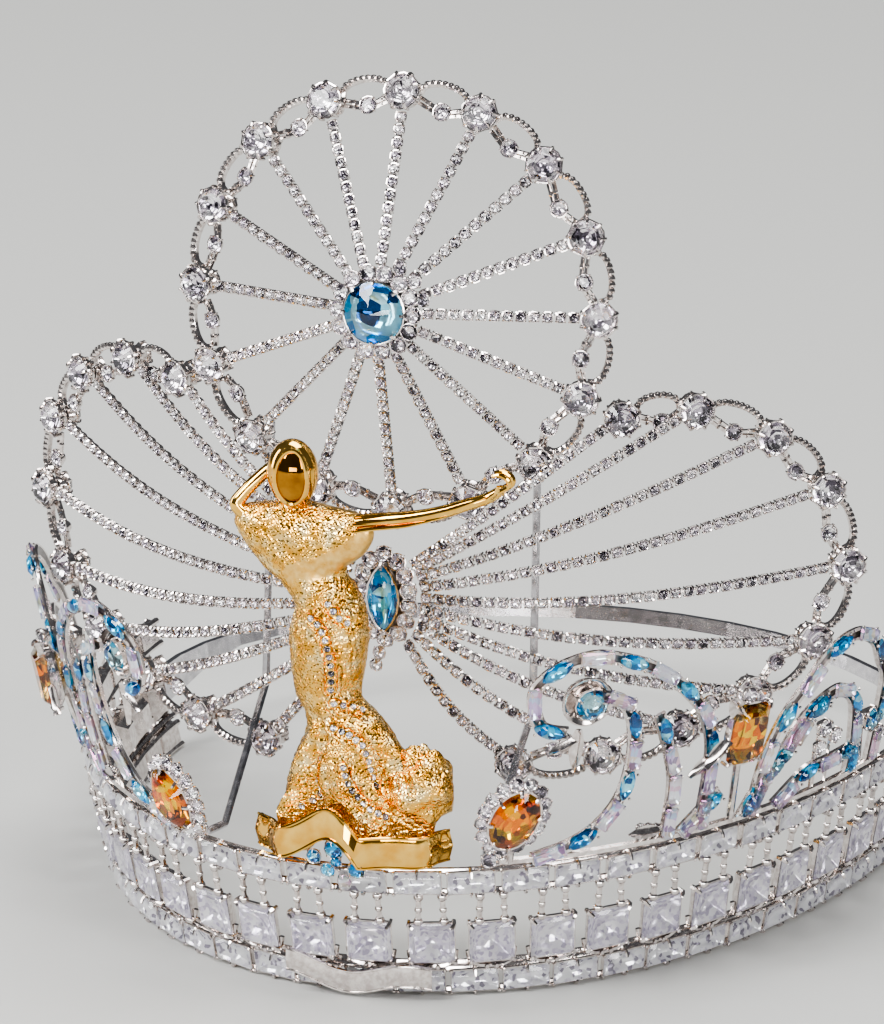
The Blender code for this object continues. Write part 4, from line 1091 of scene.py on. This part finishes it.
dancer = {
    "height": 82.0 * mm,
    "front": 111.0 * mm,
    "low": 27.9 * mm,
    "sections": (  # height, sideways, half width, half depth, depth of the folds
        (0.0, 0.01, 0.196, 0.098, 0.1), (0.06, 0.02, 0.207, 0.104, 0.12), (0.115, 0.033, 0.202, 0.102, 0.15),
        (0.16, 0.022, 0.182, 0.098, 0.16), (0.215, 0.011, 0.148, 0.092, 0.15),
        (0.285, 0.013, 0.114, 0.082, 0.1), (0.335, -0.01, 0.09, 0.07, 0.05),
        (0.375, -0.041, 0.078, 0.066, 0.01), (0.44, -0.043, 0.087, 0.073, 0),
        (0.53, -0.039, 0.095, 0.078, 0), (0.6, -0.036, 0.084, 0.068, 0), (0.65, -0.064, 0.091, 0.06, 0),
        (0.685, -0.098, 0.102, 0.058, 0), (0.735, -0.094, 0.147, 0.06, 0), (0.785, -0.097, 0.168, 0.056, 0),
        (0.825, -0.104, 0.148, 0.04, 0), (0.842, -0.114, 0.04, 0.028, 0),
    ),
    "grain": 0.2 * mm,
    "grainTurns": (1500, 1100),  # cells and soft lumps to the metre
    "gathers": 0.2 * mm,  # rays from the waist over the bodice
    "waist": (0.0, -0.06, 0.655),
    "bodice": 0.67,
    "foldsEnd": 0.62,
    "hollow": 0.16,  # share of the height that is open under the skirt
    "train": (0.186, -0.012, 0.178),
    "trainHalf": (6.5 * mm, 5.4 * mm, 7.8 * mm),
    "neck": ((-0.112, 0, 0.80), (-0.116, -0.002, 0.83), (-0.12, 0, 0.86)),
    "head": (-0.123, 0.0, 0.912),
    "headHalf": (5.0 * mm, 4.4 * mm, 6.7 * mm),
    "faceShift": 0.16,
    "faceHalf": 0.62,
    "arms": (  # places, then shares of the radius at the shoulder and wrist: one raised, one stretched out
        (((-0.185, 0, 0.785), (-0.235, -0.005, 0.803), (-0.258, -0.01, 0.825), (-0.248, -0.005, 0.846),
          (-0.215, 0.012, 0.884), (-0.165, 0.045, 0.93)), 1.1, 0.72),
        (((-0.01, 0, 0.790), (0.045, -0.005, 0.808), (0.104, -0.015, 0.822), (0.170, -0.018, 0.835),
          (0.236, -0.015, 0.852), (0.300, 0, 0.874), (0.346, 0.01, 0.890), (0.385, 0.016, 0.915)), 1.2, 0.62),
    ),
    "fingers": (  # four fingers that curl back over the palm, and the thumb
        ((0.380, 0.004, 0.912), (0.404, 0, 0.928), (0.402, -0.004, 0.945), (0.384, -0.006, 0.955),
         (0.366, -0.006, 0.951)),
        ((0.380, 0.012, 0.912), (0.408, 0.012, 0.930), (0.404, 0.010, 0.950), (0.385, 0.008, 0.960),
         (0.368, 0.006, 0.957)),
        ((0.380, 0.020, 0.912), (0.406, 0.022, 0.930), (0.402, 0.022, 0.949), (0.384, 0.020, 0.958),
         (0.370, 0.018, 0.954)),
        ((0.378, 0.028, 0.912), (0.400, 0.032, 0.928), (0.396, 0.032, 0.944), (0.381, 0.030, 0.951),
         (0.370, 0.028, 0.947)),
        ((0.362, -0.006, 0.900), (0.380, -0.018, 0.916), (0.386, -0.022, 0.934)),
    ),
    "sleeveFolds": (
        ((0.02, -0.024, 0.805), (0.10, -0.036, 0.826), (0.19, -0.036, 0.845), (0.28, -0.020, 0.870),
         (0.35, -0.006, 0.900)),
        ((0, -0.026, 0.783), (0.08, -0.036, 0.805), (0.17, -0.036, 0.823), (0.26, -0.024, 0.850)),
    ),
    "foldLines": (  # millimetres sideways and up: raised folds of the skirt
        ((6.8, 56.8), (11.1, 52.9), (14.1, 48.3), (15.3, 44.7)),
        ((5.6, 54.6), (10.2, 49.0), (12.2, 42.5), (14.0, 37.7)),
        ((-0.6, 50.4), (-0.1, 46.2), (1.4, 42.0), (4.8, 37.4)),
        ((-3.4, 50.7), (-2.6, 46.5), (-2.9, 42.7)),
        ((-3.7, 53.2), (-6.6, 49.2), (-8.4, 45.3)),
        ((-7.0, 43.3), (-9.2, 39.5), (-11.2, 35.1)),
    ),
    "stone": 0.74 * mm,
    "stonePitch": 1.7 * mm,
    "stoneLines": (  # millimetres sideways and up, over the front of the gown
        ((-4.8, 75.8), (-3.0, 74.6), (-1.9, 72.4), (-1.1, 68.5), (-0.9, 64.6), (-1.2, 61.5)),
        ((-1.6, 78.8), (0.5, 76.2), (2.5, 74.8)),
        ((-0.8, 58.9), (2.2, 58.0), (5.0, 56.5)),
        ((-0.5, 54.3), (2.8, 53.0), (5.4, 51.4), (6.7, 48.6), (7.5, 46.0), (9.3, 42.1)),
        ((1.7, 47.0), (2.4, 44.4), (3.6, 42.5), (7.0, 39.3), (11.6, 37.3)),
        ((11.8, 48.7), (12.3, 46.5), (13.5, 44.0), (15.5, 41.8)),
        ((-5.2, 47.9), (-4.6, 46.3), (-6.3, 41.3), (-8.2, 38.8), (-10.3, 36.2)),
    ),
}


def dancerPlace(x, y, z):
    h = dancer["height"]
    return Vector((x * h, band["shift"] - dancer["front"] + y * h, dancer["low"] + z * h))


def gownPoint(up, turn):
    # turn 0 faces the front; folds run down from the knees and swing to the right
    across, wide, deep, fold = smoothTable(dancer["sections"], up)
    swing = (0.33 - up) * 2.4
    wave = 0.6 * cos(5 * turn - swing) + 0.4 * cos(9 * turn + 1.7 * swing + 1)
    valley = exp(-((turn + 0.42 + 0.5 * swing) / 0.16) ** 2)
    ripple = 1 + fold * (0.85 * wave - 0.7 - 0.9 * valley)
    return dancerPlace(across + wide * ripple * sin(turn), -deep * ripple * cos(turn), up)


# the gold ribbon rises in an arch at the front, and the gown's hem follows it
ribbonArch = {"turns": (-42, 12), "rise": 5.2 * mm, "skew": 1.7}


def archShare(turn):
    start, end = ribbonArch["turns"]
    share = min(1.0, max(0.0, (degrees(turn) - start) / (end - start)))
    return sin(pi * share ** ribbonArch["skew"])


def hemLift(turn):
    return (ribbonArch["rise"] + 1.2 * mm) / dancer["height"] * archShare(turn)


def gownMiddle(up):
    return gownPoint(up, 0).lerp(gownPoint(up, pi), 0.5)


def isSmooth(up, turn):
    # smooth drape from the right armpit down across the waist
    return -0.6 < turn < 2.6 and 0.66 + 0.03 * turn < up < 0.655 + 0.085 * (turn + 0.6)


def lineDistance(spot, lines):
    # in millimetres, as seen from the front
    nearest = 9.0
    for line in lines:
        for (ax, az), (bx, bz) in zip(line, line[1:]):
            dx, dz = bx - ax, bz - az
            px, pz = spot.x / mm - ax, spot.z / mm - az
            share = min(1.0, max(0.0, (px * dx + pz * dz) / (dx * dx + dz * dz)))
            nearest = min(nearest, ((px - share * dx) ** 2 + (pz - share * dz) ** 2) ** 0.5)
    return nearest


def foldHeight(spot):
    return 1.15 * mm * exp(-(lineDistance(spot, dancer["foldLines"]) / 1.35) ** 2)


def strapHeight(spot):
    # two raised edges along each line of stones
    nearest = lineDistance(spot, dancer["stoneLines"])
    return (0.46 * exp(-((nearest - 1.3) / 0.34) ** 2) - 0.16 * (nearest < 0.9)) * mm


def addLimb(piece, places, radius, sides, shareAt):
    # a rounded limb along places; shareAt gives its share of the radius along the way
    route = smoothRoute([dancerPlace(*p) for p in places])
    taper = [shareAt(i / (len(route) - 1)) for i in range(len(route))]
    addShape(piece, tube(route, radius, sides, taper), "burnishedGold")


def makeGown():
    piece = newPiece()
    low, high = dancer["sections"][0][0] + 0.004, dancer["sections"][-1][0]
    around, levels = 144, 150
    cells, lumps = dancer["grainTurns"]
    turns = [2 * pi * i / around - pi for i in range(around)]
    waist = dancerPlace(*dancer["waist"])
    bodice = dancer["bodice"]
    rings = []
    for k in range(levels):
        ring = []
        for turn in turns:
            start = low + hemLift(turn)
            up = start + (high - start) * k / (levels - 1)
            spot = gownPoint(up, turn)
            out = (spot - gownMiddle(up)).normalized()
            lift = 0.0
            if not isSmooth(up, turn):
                lift += (noise.cell(spot * cells) * 0.5 + noise.noise(spot * lumps)) * dancer["grain"]
            if up > bodice:
                ray = atan2(spot.x - waist.x, spot.z - waist.z)
                lift += sin(ray * 15) * dancer["gathers"] * min(1.0, (up - bodice) * 12)
            if cos(turn) > 0 and up < dancer["foldsEnd"]:
                lift += strapHeight(spot) + foldHeight(spot)
            ring.append(spot + out * lift)
        rings.append(ring)
    kinds = []
    for k in range(levels - 1):
        up = low + (high - low) * (k + 0.5) / (levels - 1)
        kinds += ["satinGold" if isSmooth(up, turn) else "castGold" for turn in turns]
    inner = []
    for share, shrink in ((1.0, 0.55), (0.0, 0.9)):
        ring = []
        for turn in turns:
            up = low + hemLift(turn) + dancer["hollow"] * share
            ring.append(gownPoint(up, turn).lerp(gownMiddle(up), 1 - shrink))
        inner.append(ring)
    kinds = ["castGold"] * 2 * around + kinds + ["castGold"] * 2
    addShape(piece, facingOut(*loft(inner + rings)), kinds)
    # the train, rolled up at the right, with a smooth hollow at its shoulder
    centre = dancerPlace(*dancer["train"])
    halfX, halfY, halfZ = dancer["trainHalf"]
    shell = []
    for k in range(1, 36):
        tall = pi * k / 36
        ring = []
        for i in range(60):
            turn = 2 * pi * i / 60
            way = Vector((sin(tall) * cos(turn), sin(tall) * sin(turn), -cos(tall)))
            dimple = exp(-(way - Vector((-0.25, -0.62, 0.74))).length_squared / 0.16)
            swirl = 0.07 * cos(3 * turn + 5 * tall) + 0.05 * cos(7 * tall - 2 * turn)
            stretch = 1 + swirl - 0.3 * dimple
            p = Vector((way.x * halfX, way.y * halfY, way.z * halfZ)) * stretch
            grain = 0.0 if dimple > 0.5 else noise.cell((centre + p) * cells) * dancer["grain"]
            ring.append(centre + p + way * grain)
        shell.append(ring)
    addShape(piece, facingOut(*loft(shell)), "castGold")
    placePiece("dancerGown", piece, ("figurine",))


def makeSkin():
    skin = newPiece()
    halfX, halfY, halfZ = dancer["headHalf"]
    centre = dancerPlace(*dancer["head"])
    head = [[centre + Vector((halfX * sin(t) * x, halfY * sin(t) * y, -halfZ * cos(t)))
             for x, y in circle(40)] for t in (pi * k / 30 for k in range(1, 30))]
    kinds = []
    for k in range(1, 29):
        for i in range(40):
            tall, turn = pi * (k + 0.5) / 30, 2 * pi * (i + 0.5) / 40
            x, y, z = sin(tall) * cos(turn), sin(tall) * sin(turn), -cos(tall)
            inside = y < 0 and ((x - dancer["faceShift"]) / dancer["faceHalf"]) ** 2 + (z / 0.8) ** 2 < 1
            # the plain oval of the face takes the gold painted darker as a dark reflection
            kinds.append("deepGold" if inside else "burnishedGold")
    addShape(skin, facingOut(*loft(head)), kinds + ["burnishedGold"] * 2)
    # a rolled edge of hair round the plain oval
    roll = []
    for i in range(41):
        t = 2 * pi * i / 40
        x, z = dancer["faceShift"] + dancer["faceHalf"] * cos(t), 0.8 * sin(t)
        y = -max(0.0, 1 - x * x - z * z) ** 0.5
        roll.append(centre + Vector((x * halfX, y * halfY - 0.1 * mm, z * halfZ)))
    addShape(skin, tube(roll, 0.55 * mm, 8), "burnishedGold")
    neck = [dancerPlace(*p) for p in dancer["neck"]]
    addShape(skin, tube(neck, 2.0 * mm, 16, (1.5, 1.1, 1.0)), "burnishedGold")
    for places, start, end in dancer["arms"]:
        addLimb(skin, places, 1.65 * mm, 16, lambda t, a=start, b=end: a + (b - a) * t ** 0.7)
    for places in dancer["fingers"]:
        addLimb(skin, places, 0.55 * mm, 8, lambda t: 1.1 - 0.45 * t)
    for places in dancer["sleeveFolds"]:
        addLimb(skin, places, 0.45 * mm, 8, lambda t: 0.3 + 0.7 * sin(pi * (0.06 + 0.88 * t)))
    placePiece("dancerSkin", skin)


def makeGownStones():
    stones = newPiece()
    r = dancer["stone"]
    tiny = brilliant([(r * x, r * y) for x, y in circle(8)], 0.55, 0.3 * mm, 0.35 * mm)
    seat = turned(10, ((0.75, -0.6), (0.9, 0.05), (0.75, 0.08), (0.2, -0.45)))
    for line in dancer["stoneLines"]:
        points = [Vector((x * mm, z * mm)) for x, z in line]
        walked, target = 0.0, 0.0
        for a, b in zip(points, points[1:]):
            length = (b - a).length
            while target <= walked + length:
                spot = a.lerp(b, (target - walked) / length)
                up = (spot.y - dancer["low"]) / dancer["height"]
                across, wide = smoothTable(dancer["sections"], up)[:2]
                turn = asin(max(-0.97, min(0.97, (spot.x / dancer["height"] - across) / wide)))
                here = gownPoint(up, turn)
                sideways = gownPoint(up, turn + 0.03) - gownPoint(up, turn - 0.03)
                upward = gownPoint(up + 0.006, turn) - gownPoint(up - 0.006, turn)
                normal = sideways.cross(upward).normalized()
                place = placed(here + normal * (0.3 * mm + foldHeight(here)), normal, upward)
                addStone(stones, tiny, "clear", place)
                addShape(stones, seat, "burnishedGold", place)
                target += dancer["stonePitch"]
            walked += length
    placePiece("dancerStones", stones)


makeGown()
makeSkin()
makeGownStones()
print("dancer made")


# ribbons, left bare

ribbons = {
    "goldHeight": 6.2 * mm,
    "goldTurns": (-78, 88),
    "clear": 1.2 * mm,
    "wall": 0.8 * mm,
    "silverHeight": 4.4 * mm,
    "silverStart": -9.2 * mm,
    "silverEnd": 17.4 * mm,
    "silverLow": 0.8 * mm,
    "silverOut": 3.21 * mm,
    "silverLean": 0.45,
    "silverWave": (2.1 * mm, 1.1 * mm, 0.86),  # half the rise at the left, its loss to the right, wave length
}


def standingStrip(points, height, bulge):
    # a strip on edge along points with their outward ways, bulging out half way up
    half = ribbons["wall"] / 2
    profile = ((-half, 0), (half, 0), (half + bulge, 0.5), (half, 1), (-half, 1), (bulge - half, 0.5))
    rings = [[p + out * x + Vector((0, 0, height * up)) for x, up in profile] for p, out in points]
    return facingOut(*loft(rings))


def addEdges(piece, points, height, shares, out, radius, finish):
    # thin wires along the lower and upper edge
    for share in shares:
        route = [p + way * out + Vector((0, 0, height * share)) for p, way in points]
        addShape(piece, tube(route, radius, 6), finish)


def makeRibbons():
    h = dancer["height"]
    across, halfWidth, halfDepth = (share * h for share in dancer["sections"][1][1:4])
    start, end = (radians(t) for t in ribbons["goldTurns"])
    points = []
    for i in range(97):
        turn = start + (end - start) * i / 96
        lift = ribbonArch["rise"] * archShare(turn)
        clear = ribbons["clear"] + 0.3 * mm + 0.7 * mm * sin(8 * turn + 0.5)
        x = across + (halfWidth + clear) * sin(turn)
        y = band["shift"] - dancer["front"] - (halfDepth + clear) * cos(turn)
        out = Vector((halfDepth * sin(turn), -halfWidth * cos(turn), 0)).normalized()
        points.append((Vector((x, y, dancer["low"] + lift)), out))
    gold = newPiece()
    height, front = ribbons["goldHeight"], ribbons["wall"] / 2
    addShape(gold, standingStrip(points, height, 0.8 * mm), "burnishedGold")
    addEdges(gold, points, height, (0.02, 0.98), front + 0.02 * mm, 0.32 * mm, "burnishedGold")
    placePiece("goldRibbon", gold, ("gold_ribbon",))
    points = []
    start, end = ribbons["silverStart"], ribbons["silverEnd"]
    rise, loss, waveLength = ribbons["silverWave"]
    for i in range(73):
        share = i / 72
        angle = (start + (end - start) * share) / band["halfWidth"]
        lift = (1 + cos(2 * pi * share / waveLength)) * (rise - loss * share)
        out = ribbons["silverOut"] + lift * ribbons["silverLean"]
        place = bandPoint(angle, lift + ribbons["silverLow"], out)
        points.append((place, Vector((sin(angle), -cos(angle), 0))))
    silver = newPiece()
    height = ribbons["silverHeight"]
    addPlated(silver, standingStrip(points, height, 0.4 * mm))
    addEdges(silver, points, height, (0.03, 0.97), front, 0.26 * mm, "rhodiumPlate")
    placePiece("silverRibbon", silver, ("silver_ribbon",))


makeRibbons()
print("ribbons made")


# plain rods and the strip behind keep their own solids
ownSolids = {"back_strip": "nickelStrip", "strut_left": "nickelRod", "strut_right": "nickelRod"}
for name, finish in ownSolids.items():
    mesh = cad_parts[name].data
    mesh.materials.clear()
    mesh.materials.append(finishes[finish])


# floor, lights and camera

def softLight(name, place, aim, size, power):
    lamp = bpy.data.lights.new(name, "AREA")
    lamp.shape = "RECTANGLE"
    lamp.size, lamp.size_y = size
    lamp.energy = power
    made = addObject(name, lamp)
    made.location = place
    made.rotation_euler = (Vector(aim) - Vector(place)).to_track_quat("-Z", "Y").to_euler()


softLight("keyLight", (-0.9, -1.1, 1.3), (0, 0, 0.08), (0.8, 0.8), 42)
softLight("fillLight", (1.3, -0.9, 0.7), (0, 0, 0.08), (0.5, 0.9), 16)
softLight("topLight", (0.1, 0.3, 1.6), (0, 0, 0.05), (1.2, 0.9), 26)
softLight("frontStrip", (0.35, -1.7, 0.25), (0, 0, 0.05), (0.9, 0.25), 10)
softLight("leftStrip", (-1.4, -0.2, 0.45), (0, 0, 0.08), (0.25, 1.1), 8)

floorMesh = bpy.data.meshes.new("floor")
floorMesh.from_pydata([(-6, -3, 0), (6, -3, 0), (6, 9, 0), (-6, 9, 0)], [], [[0, 1, 2, 3]])
# matt painted board: even and pale, with no gloss of its own
floorFinish, floorTree, floorShader, _ = newFinish("paleFloor")
feed(floorTree, floorShader, {"Base Color": linearColour("#B8B8B5"), "Roughness": 0.7})
floorMesh.materials.append(floorFinish)
floor = addObject("floor", floorMesh)

world = bpy.data.worlds.new("studio")
world.use_nodes = True
sky = world.node_tree.nodes["Background"]
feed(world.node_tree, sky, {"Color": linearColour("#8C8E93"), "Strength": 0.38})
bpy.context.scene.world = world
bpy.context.scene.view_settings.look = "AgX - Medium High Contrast"
bpy.context.scene.view_settings.exposure = 0.0

view = bpy.data.cameras.new("photoView")
view.sensor_fit = "HORIZONTAL"
view.sensor_width = 36
view.lens = 372.8
view.clip_start = 0.1
view.clip_end = 50
camera = addObject("photoView", view)
right = Vector((0.94603, 0.32390, -0.01069))
up = Vector((-0.09187, 0.29967, 0.94961))
back = Vector((0.31078, -0.89738, 0.31325))
pose = Matrix((right, up, back)).transposed().to_4x4()
pose.translation = (0.55707, -1.63431, 0.63927)
camera.matrix_world = pose
bpy.context.scene.camera = camera
print("scene set")
